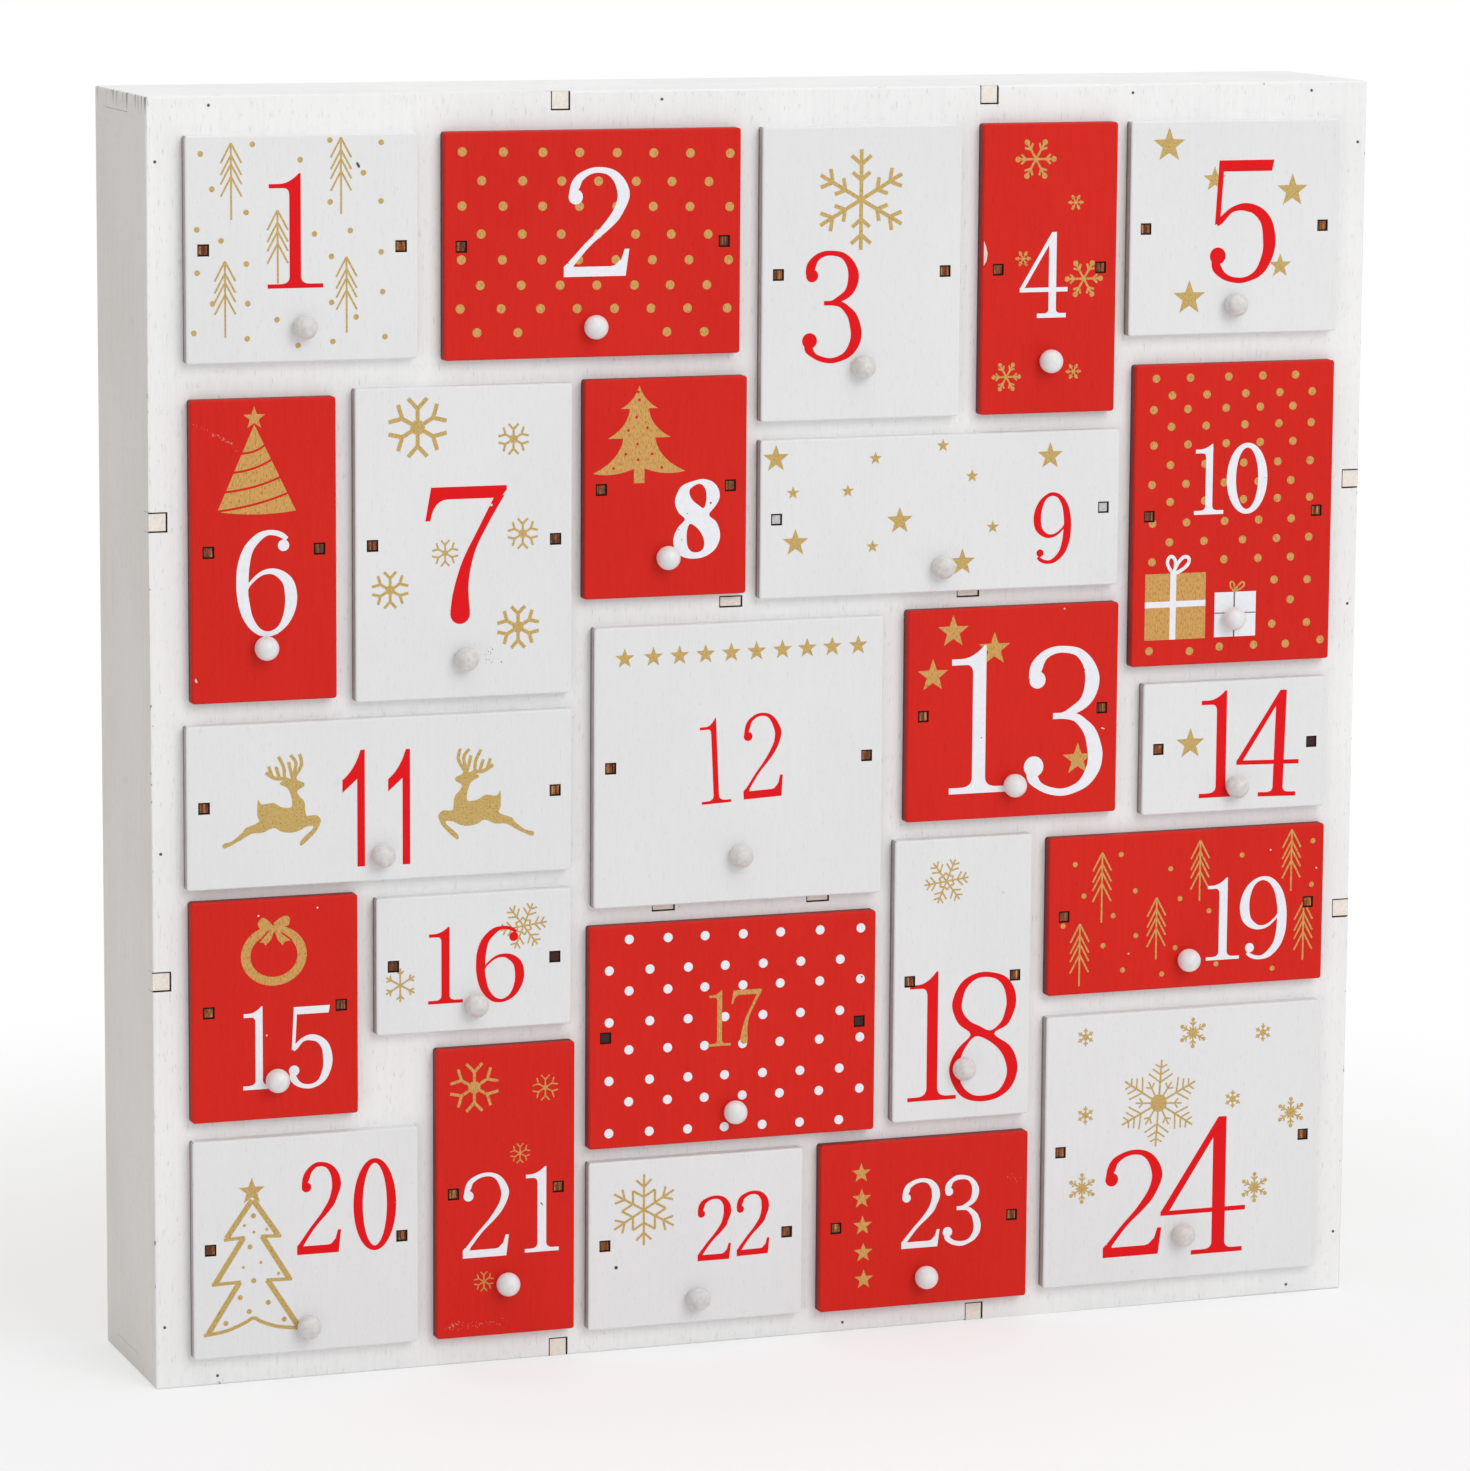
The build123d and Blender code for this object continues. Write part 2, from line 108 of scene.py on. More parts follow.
class Finish:
    def __init__(self, name, kind="materials"):
        self.owner = getattr(bpy.data, kind).new(name)
        self.owner.use_nodes = True
        self.tree = self.owner.node_tree
        if kind == "materials":
            self.shader = self.tree.nodes["Principled BSDF"]
            self.place = self.add("ShaderNodeTexCoord", {}, {}, "Object")

    # any node: its settings first, then the values or links of its sockets
    def add(self, kind, settings, sockets, out=0):
        node = self.tree.nodes.new(kind)
        for key, value in settings.items():
            if key == "stops":
                while len(node.color_ramp.elements) < len(value):
                    node.color_ramp.elements.new(1)
                for stop, (position, colour) in zip(node.color_ramp.elements, value):
                    stop.position = position
                    stop.color = colour
            else:
                setattr(node, key, value)
        for key, value in sockets.items():
            self.feed(node.inputs[key], value)
        return Value(self, node.outputs[out])

    def feed(self, socket, value):
        if isinstance(value, Value):
            self.tree.links.new(value.socket, socket)
        else:
            socket.default_value = value

    def axes(self):
        split = self.add("ShaderNodeSeparateXYZ", {}, {0: self.place}).socket.node
        return [Value(self, output) for output in split.outputs]

    # spots of this size in mm each way
    def noise(self, across, deep, up, detail=3, rough=0.5):
        scale = (1 / (across * mm), 1 / (deep * mm), 1 / (up * mm))
        spot = self.add("ShaderNodeMapping", {}, {"Vector": self.place, "Scale": scale})
        sockets = {"Vector": spot, "Scale": 1.0, "Detail": detail, "Roughness": rough}
        return self.add("ShaderNodeTexNoise", {}, sockets)

    def ease(self, value, low, high, start=0.0, end=1.0):
        sockets = {"Value": value, "From Min": low, "From Max": high, "To Min": start, "To Max": end}
        return self.add("ShaderNodeMapRange", {"interpolation_type": "SMOOTHSTEP"}, sockets)

    def mix(self, share, first, second):
        return self.add("ShaderNodeMix", {"data_type": "RGBA"}, {0: share, 6: first, 7: second}, 2)

    # each stop: its position and its screen colour
    def ramp(self, value, *stops):
        toned = [(position, tone(*colour)) for position, *colour in stops]
        return self.add("ShaderNodeValToRGB", {"stops": toned}, {"Fac": value})

    def bump(self, height, depth, strength=1.0):
        sockets = {"Height": height, "Distance": depth * mm, "Strength": strength}
        return self.add("ShaderNodeBump", {}, sockets)

    def close(self, **sockets):
        for key, value in sockets.items():
            self.feed(self.shader.inputs[key.replace("_", " ")], value)
        return self.owner


# a screen colour, 0 to 255, as a shader colour
def tone(red, green, blue):
    parts = []
    for part in (red, green, blue):
        share = part / 255
        parts.append(share / 12.92 if share < 0.04045 else ((share + 0.055) / 1.055) ** 2.4)
    return (*parts, 1.0)


# Finishes

brushLook = {
    "cloud": (38, 38, 60), "streakShare": 0.3, "fibreShare": 0.25, "cloudShare": 0.45,
    "streakEase": (0.35, 0.75), "fibreEase": (0.4, 0.75), "cloudEase": (0.3, 0.7), "pitEase": (0.6, 0.72),
}


# fibres stand out a little under the paint; streaks and clouds are the brush's
def brushedPaint(name, look):
    finish = Finish(name)
    streaks = finish.noise(*look["streak"], 4, 0.6)
    clouds = finish.noise(*brushLook["cloud"], 2)
    fibres = finish.noise(*look["fibre"], 3, 0.6)
    shade = finish.ease(streaks, *brushLook["streakEase"]) * brushLook["streakShare"]
    shade = shade + finish.ease(fibres, *brushLook["fibreEase"]) * brushLook["fibreShare"]
    shade = shade + finish.ease(clouds, *brushLook["cloudEase"]) * brushLook["cloudShare"]
    colour = finish.mix(shade, look["pale"], look["dull"])
    pits = finish.ease(fibres, *brushLook["pitEase"]) * look["pits"]
    colour = finish.mix(pits, colour, look["deep"])
    rough = finish.ease(streaks, 0.3, 0.7, look["rough"] - 0.06, look["rough"] + 0.08)
    height = streaks * 0.2 + fibres * 0.7 - pits * 0.8
    if look["worn"]:
        worn = wornEdges(finish)
        colour = finish.mix(worn * look["worn"], colour, look["under"])
        height = height - worn * 2
    finish.close(Specular_IOR_Level=look["shine"])
    return finish.close(Base_Color=colour, Roughness=rough, Normal=finish.bump(height, look["relief"]))


wornLook = {"rim": (0.3, 1.1), "nick": (1.6, 1.6, 2.6), "crack": (9, 1.3, 26), "crackEnds": (0.4, 5.5)}


# full at a gap of the first limit, in mm, and gone at the second
def nearness(finish, gap, limits):
    return finish.ease(gap, limits[0] * mm, limits[1] * mm, 1.0, 0.0)


# nicks here and there on the case's outer edges, and short cracks down from its upper edge at the sides
def wornEdges(finish):
    near = []
    across, deep, up = finish.axes()
    for value, *limits in ((across, caseLow.x, caseHigh.x), (deep, caseLow.y), (up, caseLow.z, caseHigh.z)):
        gap = abs(value - limits[0])
        for limit in limits[1:]:
            gap = gap.least(abs(value - limit))
        near.append(nearness(finish, gap, wornLook["rim"]))
    rim = (near[0] * near[1] + near[1] * near[2] + near[2] * near[0]).least(1.0)
    nicks = finish.ease(finish.noise(*wornLook["nick"], 2), 0.67, 0.71) * rim
    top = nearness(finish, caseHigh.z - up, wornLook["crackEnds"]) * near[0]
    cracks = finish.ease(finish.noise(*wornLook["crack"], 3), 0.56, 0.66) * top
    return nicks.most(cracks)


# the case face's paint is brighter than the same paint on the walls: painted light that offsets the shade
# between the fronts; the walls' darker, warmer copy is painted shade on the sides
litCasePaintLook = {
    "pale": tone(246, 246, 245), "dull": tone(236, 236, 236), "deep": tone(208, 205, 202),
    "streak": (1.1, 1.1, 34), "fibre": (0.5, 0.5, 3.2), "pits": 0.6, "rough": 0.62, "relief": 0.14,
    "shine": 0.4, "worn": 0.75, "under": tone(116, 100, 90),
}
shadedWallPaintLook = dict(litCasePaintLook, pale=tone(235, 232, 228), dull=tone(225, 220, 215))
flatPaintLook = dict(litCasePaintLook, streak=(34, 1.1, 34), fibre=(3.2, 0.5, 3.2), worn=0)
whiteFrontLook = {
    "pale": tone(232, 232, 233), "dull": tone(225, 226, 227), "deep": tone(206, 205, 205),
    "streak": (0.9, 0.9, 12), "fibre": (0.45, 0.45, 2), "pits": 0.35, "rough": 0.55, "relief": 0.04,
    "shine": 0.4, "worn": 0,
}
redFrontLook = {
    "pale": tone(215, 31, 16), "dull": tone(205, 26, 13), "deep": tone(178, 20, 12),
    "streak": (1.0, 1.0, 14), "fibre": (0.45, 0.45, 2), "pits": 0.4, "rough": 0.55, "relief": 0.04,
    "shine": 0.2, "worn": 0,
}

# face and top/bottom take the brightened paint (painted light), the walls the darker copy (painted shade)
litCasePaint = brushedPaint("litCasePaint", litCasePaintLook)
shadedWallPaint = brushedPaint("shadedWallPaint", shadedWallPaintLook)
flatPaint = brushedPaint("panelPaint", flatPaintLook)
whiteFront = brushedPaint("whiteFrontPaint", whiteFrontLook)
redFront = brushedPaint("redFrontPaint", redFrontLook)


sideLook = {"board": 3.5, "wobble": 0.3, "grit": 0.35, "soot": tone(92, 74, 70)}


# the cut side of a painted front: scorched plies under thin paint, darkened towards the case as painted
# shade
def scorchedAndShadedSide(name, stops):
    finish = Finish(name)
    depth = finish.axes()[1]
    board = (faceY - depth) / (sideLook["board"] * mm)
    wobble = finish.noise(4, 0.4, 4, 3)
    layer = board + wobble * sideLook["wobble"] - sideLook["wobble"] / 2
    colour = finish.ramp(layer, *stops)
    grit = finish.noise(0.5, 0.3, 2.2, 2)
    colour = finish.mix(finish.ease(grit, 0.45, 0.7) * sideLook["grit"], colour, sideLook["soot"])
    return finish.close(Base_Color=colour, Roughness=0.7, Normal=finish.bump(grit, 0.06, 0.5))


# stops run from the case face (0) to the front's face (1); the dark stops at the case are painted shade
whiteShadedSide = scorchedAndShadedSide("whiteFrontSide", (
    (0.0, 114, 107, 106), (0.22, 146, 138, 137), (0.5, 192, 183, 182), (0.78, 184, 172, 172),
    (0.97, 170, 156, 156),
))
redShadedSide = scorchedAndShadedSide("redFrontSide", (
    (0.0, 92, 15, 18), (0.3, 136, 20, 23), (0.6, 160, 25, 26), (0.95, 148, 23, 24),
))


def veneerWood(name, pale, dark, stretch):
    finish = Finish(name)
    bands = finish.noise(*stretch, 5, 0.62)
    fibres = finish.noise(*[size * 0.22 for size in stretch], 3, 0.6)
    shade = finish.ease(bands, 0.3, 0.72) * 0.65 + fibres * 0.35
    colour = finish.mix(shade, pale, dark)
    rough = finish.ease(fibres, 0.3, 0.7, 0.6, 0.78)
    return finish.close(Base_Color=colour, Roughness=rough, Normal=finish.bump(fibres, 0.08, 0.4))


veneerPale = tone(226, 200, 160)
veneerDark = tone(196, 160, 114)
uprightVeneer = veneerWood("uprightVeneer", veneerPale, veneerDark, (2.4, 2.4, 70))
levelVeneer = veneerWood("levelVeneer", veneerPale, veneerDark, (70, 2.4, 2.4))
backVeneer = veneerWood("backVeneer", tone(214, 184, 142), tone(184, 146, 102), (4.5, 4.5, 130))


# a laser-cut edge: toasted plies with charred streaks
def cutEdge():
    finish = Finish("scorchedPlyEdge")
    streaks = finish.noise(1.2, 1.2, 1.2, 4, 0.65)
    colour = finish.ramp(streaks, (0.28, 58, 36, 22), (0.5, 112, 72, 42), (0.72, 162, 116, 72))
    return finish.close(Base_Color=colour, Roughness=0.8, Normal=finish.bump(streaks, 0.08, 0.5))


plyEdge = cutEdge()


def speckled(name, stops, size, rough, metal=0.0, shine=0.5, tall=1.0):
    finish = Finish(name)
    finish.close(Specular_IOR_Level=shine, Metallic=metal)
    specks = finish.noise(size, size, size * tall, 3, 0.6)
    colour = finish.ramp(specks, *stops)
    gloss = finish.ease(specks, 0.3, 0.7, rough - 0.07, rough + 0.07)
    return finish.close(Base_Color=colour, Roughness=gloss, Normal=finish.bump(specks, 0.02, 0.3))


charredAndShadow = speckled("charredEdgeAndShadow", ((0.3, 18, 10, 7), (0.7, 46, 26, 16)), 0.5, 0.85, shine=0.2)
paleTab = speckled("paleTabEnd", ((0.25, 232, 221, 208), (0.7, 247, 241, 233)), 0.9, 0.75)
greyTab = speckled("paintedTabEnd", ((0.3, 178, 176, 174), (0.7, 214, 214, 214)), 0.7, 0.7)
darkTab = speckled("darkTabEnd", ((0.35, 24, 10, 8), (0.75, 78, 26, 18)), 0.6, 0.8)
dullKnob = speckled("dullKnobPaint", ((0.3, 202, 200, 197), (0.7, 224, 222, 219)), 1.4, 0.42)
whiteKnob = speckled("whiteKnobPaint", ((0.3, 222, 222, 222), (0.7, 237, 237, 238)), 2.6, 0.36)


# the end of an upright tab: scorched plies side by side
def pliesEnd():
    finish = Finish("amberTabEnd")
    plies = finish.noise(0.8, 0.8, 12, 3, 0.6)
    specks = finish.noise(0.35, 0.35, 0.35, 2)
    colour = finish.ramp(
        plies * 0.75 + specks * 0.25, (0.38, 36, 14, 6), (0.48, 108, 51, 15), (0.56, 156, 90, 34),
        (0.64, 212, 162, 94))
    return finish.close(Base_Color=colour, Roughness=0.75, Normal=finish.bump(plies, 0.04, 0.5))


amberWood = pliesEnd()
pinSteel = speckled("pinSteel", ((0.3, 66, 62, 58), (0.7, 112, 106, 100)), 0.3, 0.5, 0.7)
print("finishes made:", len(bpy.data.materials))


# Pieces

def addPiece(name, bm, body, finishes, replaced=(), smooth=False):
    mesh = bpy.data.meshes.new(name)
    for face in bm.faces:
        face.smooth = smooth
    bm.to_mesh(mesh)
    bm.free()
    for finish in finishes:
        mesh.materials.append(finish)
    piece = bpy.data.objects.new(name, mesh)
    scene.collection.objects.link(piece)
    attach(piece, body)
    if replaced:
        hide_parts(*replaced)


def roundEdges(bm, edges, size, steps):
    bmesh.ops.bevel(
        bm, geom=edges, offset=size * mm, offset_type="OFFSET", affect="EDGES",
        segments=steps, profile=0.5, material=-1)


# a block between two corners
def block(bm, low, high):
    low = Vector(low)
    high = Vector(high)
    made = bmesh.ops.create_cube(bm, size=1)["verts"]
    bmesh.ops.scale(bm, vec=high - low, verts=made)
    bmesh.ops.translate(bm, vec=(high + low) / 2, verts=made)
    return made


# lowest and highest corner of some points
def span(points):
    return [Vector([pick(point[axis] for point in points) for axis in range(3)]) for pick in (min, max)]


tabSearch = {"slack": 0.05, "apart": 15}


# the ends of a board's foremost tabs: lowest and highest corner of each
def tabEnds(node):
    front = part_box(node)[0].y
    groups = []
    for corner in nodes[node].data.vertices:
        if corner.co.y > front + tabSearch["slack"] * mm:
            continue
        for group in groups:
            if (group[0] - corner.co).length < tabSearch["apart"] * mm:
                group.append(corner.co)
                break
        else:
            groups.append([corner.co])
    return [span(group) for group in groups]


# Case: boards as cut, their outer edges eased, painted outside and bare inside

caseShape = {"ease": 0.55, "steps": 3, "near": 0.02, "flat": 1}
caseCoat = {"own": 0, "bare": 1, "wall": 2, "level": 3}


def outerSides(points):
    near = caseShape["near"] * mm
    sides = 0
    for axis in range(3):
        for limit in (caseLow[axis], caseHigh[axis]):
            sides += all(abs(point[axis] - limit) < near for point in points)
    return sides


# paint goes on what lies outside and in the joints that show at the sides
def caseBoard(node, paint, bare):
    flat = math.radians(caseShape["flat"])
    bm = bmesh.new()
    bm.from_mesh(nodes[node].data)
    bmesh.ops.remove_doubles(bm, verts=bm.verts[:], dist=weld)
    bmesh.ops.dissolve_limit(bm, angle_limit=flat, verts=bm.verts[:], edges=bm.edges[:])
    near = caseShape["near"] * mm
    for face in bm.faces:
        points = [corner.co for corner in face.verts]
        atSide = any(min(point.x - caseLow.x, caseHigh.x - point.x) < near for point in points)
        coat = "own"
        if not outerSides(points):
            coat = "wall" if atSide and node != "face_board" else "bare"
        elif abs(face.normal.x) > facing:
            coat = "wall"
        elif abs(face.normal.z) > facing:
            coat = "level"
        face.material_index = caseCoat[coat]
    rim = [edge for edge in bm.edges if outerSides([corner.co for corner in edge.verts]) > 1]
    roundEdges(bm, rim, caseShape["ease"], caseShape["steps"])
    words = node.split("_")
    name = words[0] + words[1].capitalize()
    addPiece(name, bm, "case", (paint, bare, shadedWallPaint, flatPaint), (node,))


caseBoard("face_board", litCasePaint, plyEdge)
for side in ("left_wall", "right_wall"):
    caseBoard(side, shadedWallPaint, uprightVeneer)
for level in ("top_panel", "bottom_panel"):
    caseBoard(level, flatPaint, levelVeneer)
print("case boards made")


# Pale tab ends in the face, each with a dark outline: a burnt edge together with the painted shadow of the
# gap round the tab

tabLook = {"skin": 0.06, "burnAndShadow": 0.3, "runOut": 0.9}


# the ends take the finishes in turn; at the case's rim the outline runs out
def tabPlates(name, body, ends, look, *finishes):
    bm = bmesh.new()
    for index, (low, high) in enumerate(ends):
        front = low.y - look["skin"] * mm
        corners = block(bm, (low.x, front, low.z), (high.x, low.y, high.z))
        faces = {face for corner in corners for face in corner.link_faces}
        for face in faces:
            face.material_index = len(finishes)
        head = min(faces, key=lambda face: face.calc_center_median().y)
        # the inset ring is the dark outline: burnt edge and painted shadow of the gap round the tab
        bmesh.ops.inset_individual(bm, faces=[head], thickness=look["burnAndShadow"] * mm, use_even_offset=True)
        head.material_index = index % len(finishes)
        for axis in (0, 2):
            for end, limit in ((low, caseLow), (high, caseHigh)):
                if abs(end[axis] - limit[axis]) < mm:
                    shift = (1 if end is high else -1) * look["runOut"] * look["burnAndShadow"] * mm
                    outer = sorted(head.verts, key=lambda corner: abs(corner.co[axis] - end[axis]))[:2]
                    for corner in outer:
                        corner.co[axis] += shift
    addPiece(name, bm, body, (*finishes, charredAndShadow))


caseEnds = []
for node in ("left_wall", "right_wall", "top_panel", "bottom_panel", "middle_shelves"):
    caseEnds += tabEnds(node)
tabPlates("caseTabEnds", "case", caseEnds, tabLook, paleTab)
print("case tab ends made:", len(caseEnds))


# Boards that stay as cut: faces take the veneer, thin sides the scorched edge

stock = 5.3  # thicker than any board, mm


def dressBoards(node, veneer):
    mesh = nodes[node].data
    mesh.materials.clear()
    mesh.materials.append(veneer)
    mesh.materials.append(plyEdge)
    for face in mesh.polygons:
        low, high = span([mesh.vertices[index].co for index in face.vertices])
        face.material_index = 1 if sorted(high - low)[1] < stock * mm else 0


dressBoards("back_board", backVeneer)
for node in ("base_board", "left_shelves", "middle_shelves", "right_shelves"):
    dressBoards(node, levelVeneer)
dressBoards("uprights", uprightVeneer)
nodes["panel_pins"].data.materials.clear()
nodes["panel_pins"].data.materials.append(pinSteel)


# Drawers

frontShape = {
    "corner": 0.8, "rim": 0.5, "steps": 3, "near": 0.01, "slotRoom": 0.1, "recess": 0.4, "edgeOn": 0.2,
    "sideways": 0.5,
}
frontCoat = {"face": 0, "side": 1, "slot": 2, "back": 3}
knobShape = {"ball": 3.25, "seat": 2.35, "sunk": 0.05, "ahead": 3, "turns": 48, "arc": 20}
drawerTabLook = {"skin": 0.05, "burnAndShadow": 0.34, "runOut": 0.9}
tabCentres = {9: (greyTab,), 14: (amberWood, darkTab), 16: (amberWood, darkTab), 17: (darkTab,)}


# a drawer's body and its two nodes
def namesOf(number):
    body = f"drawer_{number:02d}"
    return body, body + "_front", body + "_tray"


# the plane that a front's face lies in
def frontPlane(number):
    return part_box(namesOf(number)[2])[0].y - frontShape["recess"] * mm


def cutSlot(bm, low, high):
    room = frontShape["slotRoom"] * mm
    low = low - Vector((room, 0, room))
    high = high + Vector((room, 0, room))
    for axis in (0, 2):
        for limit in (low, high):
            normal = Vector((axis == 0, 0, axis == 2))
            geometry = bm.verts[:] + bm.edges[:] + bm.faces[:]
            bmesh.ops.bisect_plane(bm, geom=geometry, dist=weld, plane_co=limit, plane_no=normal)
    holes = []
    for face in bm.faces:
        middle = face.calc_center_median()
        inside = low.x < middle.x < high.x and low.z < middle.z < high.z
        if inside and abs(face.normal.y) > facing:
            holes.append(face)
    rims = list({edge for face in holes for edge in face.edges})
    bmesh.ops.delete(bm, geom=holes, context="FACES_ONLY")
    walls = bmesh.ops.bridge_loops(bm, edges=rims)["faces"]
    for face in walls:
        face.material_index = frontCoat["slot"]


def drawerBoard(number):
    body, node, tray = namesOf(number)
    low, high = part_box(node)
    plane = frontPlane(number)
    bm = bmesh.new()
    block(bm, (low.x, plane, low.z), high)
    posts = [edge for edge in bm.edges if abs(edge.verts[0].co.y - edge.verts[1].co.y) > mm]
    roundEdges(bm, posts, frontShape["corner"], frontShape["steps"])
    ahead = plane + frontShape["near"] * mm
    rim = [edge for edge in bm.edges if all(corner.co.y < ahead for corner in edge.verts)]
    roundEdges(bm, rim, frontShape["rim"], frontShape["steps"])
    bm.normal_update()
    isRed = slotOf[node] == "red_paint"
    for face in bm.faces:
        across, deep, _ = face.normal
        coat = "face"
        if deep > facing:
            coat = "back"
        elif abs(deep) < frontShape["edgeOn"] and (isRed or abs(across) > frontShape["sideways"]):
            coat = "side"
        face.material_index = frontCoat[coat]
    for end in tabEnds(tray):
        cutSlot(bm, *end)
    bmesh.ops.recalc_face_normals(bm, faces=bm.faces[:])
    paints = (redFront, redShadedSide) if isRed else (whiteFront, whiteShadedSide)
    finishes = (*paints, charredAndShadow, uprightVeneer)
    addPiece(f"drawer{number:02d}Front", bm, body, finishes, (node,))


# where a front's knob stands: the middle of what reaches before its face
def knobPlace(number):
    plane = frontPlane(number)
    corners = nodes[namesOf(number)[1]].data.vertices
    low, high = span([corner.co for corner in corners if corner.co.y < plane - knobShape["ahead"] * mm])
    return Vector(((low.x + high.x) / 2, plane, (low.z + high.z) / 2))


def drawerKnob(number):
    place = knobPlace(number)
    ball = knobShape["ball"]
    middle = math.sqrt(ball ** 2 - knobShape["seat"] ** 2)
    last = math.pi - math.asin(knobShape["seat"] / ball)
    profile = []
    for step in range(knobShape["arc"] + 1):
        angle = last * step / knobShape["arc"]
        profile.append((ball * math.sin(angle), middle + ball * math.cos(angle)))
    profile.append((knobShape["seat"], -knobShape["sunk"]))
    bm = bmesh.new()
    corners = [bm.verts.new(place + Vector((radius, -ahead, 0)) * mm) for radius, ahead in profile]
    edges = [bm.edges.new(pair) for pair in zip(corners, corners[1:])]
    bmesh.ops.spin(
        bm, geom=corners + edges, cent=place, axis=(0, 1, 0), dvec=(0, 0, 0),
        angle=2 * math.pi, steps=knobShape["turns"], use_merge=True, use_duplicate=False)
    bmesh.ops.remove_doubles(bm, verts=bm.verts[:], dist=weld)
    base = [edge for edge in bm.edges if edge.is_boundary]
    bmesh.ops.contextual_create(bm, geom=base)
    bmesh.ops.recalc_face_normals(bm, faces=bm.faces[:])
    body, node, _ = namesOf(number)
    paint = whiteKnob if slotOf[node] == "red_paint" else dullKnob
    addPiece(f"drawer{number:02d}Knob", bm, body, (paint,), (node,), smooth=True)


for number in drawerNumbers:
    drawerBoard(number)
    drawerKnob(number)
    body, _, tray = namesOf(number)
    dressBoards(tray, uprightVeneer)
    ends = sorted(tabEnds(tray), key=lambda end: end[0].x)
    centres = tabCentres.get(number, (amberWood,))
    tabPlates(f"drawer{number:02d}TabEnds", body, ends, drawerTabLook, *centres)
print("drawers made:", len(drawerNumbers))


# Prints: flat outlines in mm on a front, across and up from its middle

printFit = {"thick": 0.05, "sunk": 0.02, "merge": 1e-5}

goldStops = ((0.3, 146, 116, 60), (0.43, 190, 158, 88), (0.7, 208, 178, 108))
warmStops = ((0.3, 150, 94, 42), (0.44, 199, 147, 72), (0.7, 215, 169, 96))
inks = {
    "gold": speckled("goldInk", goldStops, 0.5, 0.42, 0.15),
    "warmGold": speckled("warmGoldInk", warmStops, 0.42, 0.42, 0.15, tall=2.6),
    "red": speckled("redInk", ((0.3, 222, 8, 16), (0.7, 230, 12, 20)), 1.2, 0.5, shine=0.15),
    "white": speckled("whiteInk", ((0.3, 232, 234, 240), (0.7, 240, 241, 246)), 1.2, 0.5),
    "soot": speckled("sootFleck", ((0.3, 40, 36, 34), (0.7, 92, 86, 80)), 0.4, 0.8),
    "scuff": speckled("scuffMark", ((0.3, 206, 70, 60), (0.7, 226, 150, 140)), 0.4, 0.8),
    "dust": speckled("dustFleck", ((0.3, 214, 196, 190), (0.7, 236, 226, 222)), 0.4, 0.8),
    "twine": speckled("twineInk", ((0.3, 84, 64, 48), (0.7, 126, 100, 76)), 0.5, 0.7),
    "moss": speckled("mossFleck", ((0.3, 38, 52, 30), (0.7, 74, 86, 52)), 0.4, 0.8),
}


def moved(shapes, u, v, turn=0.0, size=1.0):
    c = math.cos(math.radians(turn)) * size
    s = math.sin(math.radians(turn)) * size
    return [[(u + c * x - s * y, v + s * x + c * y) for x, y in shape] for shape in shapes]


def flipped(shapes):
    return [[(-x, y) for x, y in shape] for shape in shapes]


def disc(u, v, radius, steps=18):
    turns = [2 * math.pi * step / steps for step in range(steps)]
    return [(u + radius * math.cos(turn), v + radius * math.sin(turn)) for turn in turns]


# a run from start to end, drawn towards pull
def bow(start, pull, end, steps=6):
    run = []
    for step in range(steps + 1):
        t = step / steps
        both = zip(start, pull, end)
        run.append(tuple((1 - t) ** 2 * a + 2 * t * (1 - t) * b + t * t * c for a, b, c in both))
    return run


# a smooth run through knots
def curve(knots, steps=6, closed=False):
    count = len(knots)
    run = []
    for index in range(count if closed else count - 1):
        around = []
        for place in range(index - 1, index + 3):
            around.append(knots[place % count] if closed else knots[min(max(place, 0), count - 1)])
        for step in range(steps):
            t = step / steps
            run.append(tuple(
                b + t / 2 * (c - a + t * (2 * a - 5 * b + 4 * c - d + t * (3 * b - a - 3 * c + d)))
                for a, b, c, d in zip(*around)))
    if not closed:
        run.append(tuple(knots[-1]))
    return run


def ring(steps, *knots):
    return curve(knots, steps, closed=True)


# a stroke along a run of (across, up, width), as one small outline for each step
def ribbon(run):
    sides = []
    for index, (u, v, width) in enumerate(run):
        before = run[max(index - 1, 0)]
        after = run[min(index + 1, len(run) - 1)]
        along = Vector((after[0] - before[0], after[1] - before[1])).normalized()
        out = Vector((-along.y, along.x)) * width / 2
        sides.append((Vector((u, v)) + out, Vector((u, v)) - out))
    outlines = []
    for first, second in zip(sides, sides[1:]):
        corners = [*first, *second]
        outlines.append([tuple(corners[index]) for index in convex_hull_2d(corners)])
    return outlines


def line(start, end, width):
    return ribbon([(*start, width), (*end, width)])


def pathway(width, *points):
    outlines = []
    for start, end in zip(points, points[1:]):
        outlines += line(start, end, width)
    return outlines + [disc(*point, width / 2, 10) for point in points[1:-1]]


def smoothLine(width, *points, closed=False):
    run = [(*point, width) for point in curve(points, 5, closed)]
    if closed:
        run.append(run[0])
    return ribbon(run)


def panel(left, right, low, high):
    return [(left, low), (right, low), (right, high), (left, high)]


# Numerals: each fits a box of this width and height; most take a stem and a hairline

# each knot: its place, and its width as a share of the stem or, behind a 0, of the hairline
def spine(w, h, stem, hair, *knots):
    return ribbon(curve([(x * w, y * h, a * stem + sum(b) * hair) for x, y, a, *b in knots]))


def scaled(w, h, *points):
    return [(x * w, y * h) for x, y in points]


# a foot with its hollow curves up to the stem
def foot(left, right, start, end, hair, rise):
    reach = min(1.3 * rise, 0.8 * (left - start))
    outline = [(start, 0), (end, 0), (end, hair)]
    outline += bow((right + reach, hair), (right, hair), (right, hair + rise))
    outline += bow((left, hair + rise), (left, hair), (left - reach, hair))
    return outline + [(start, hair)]


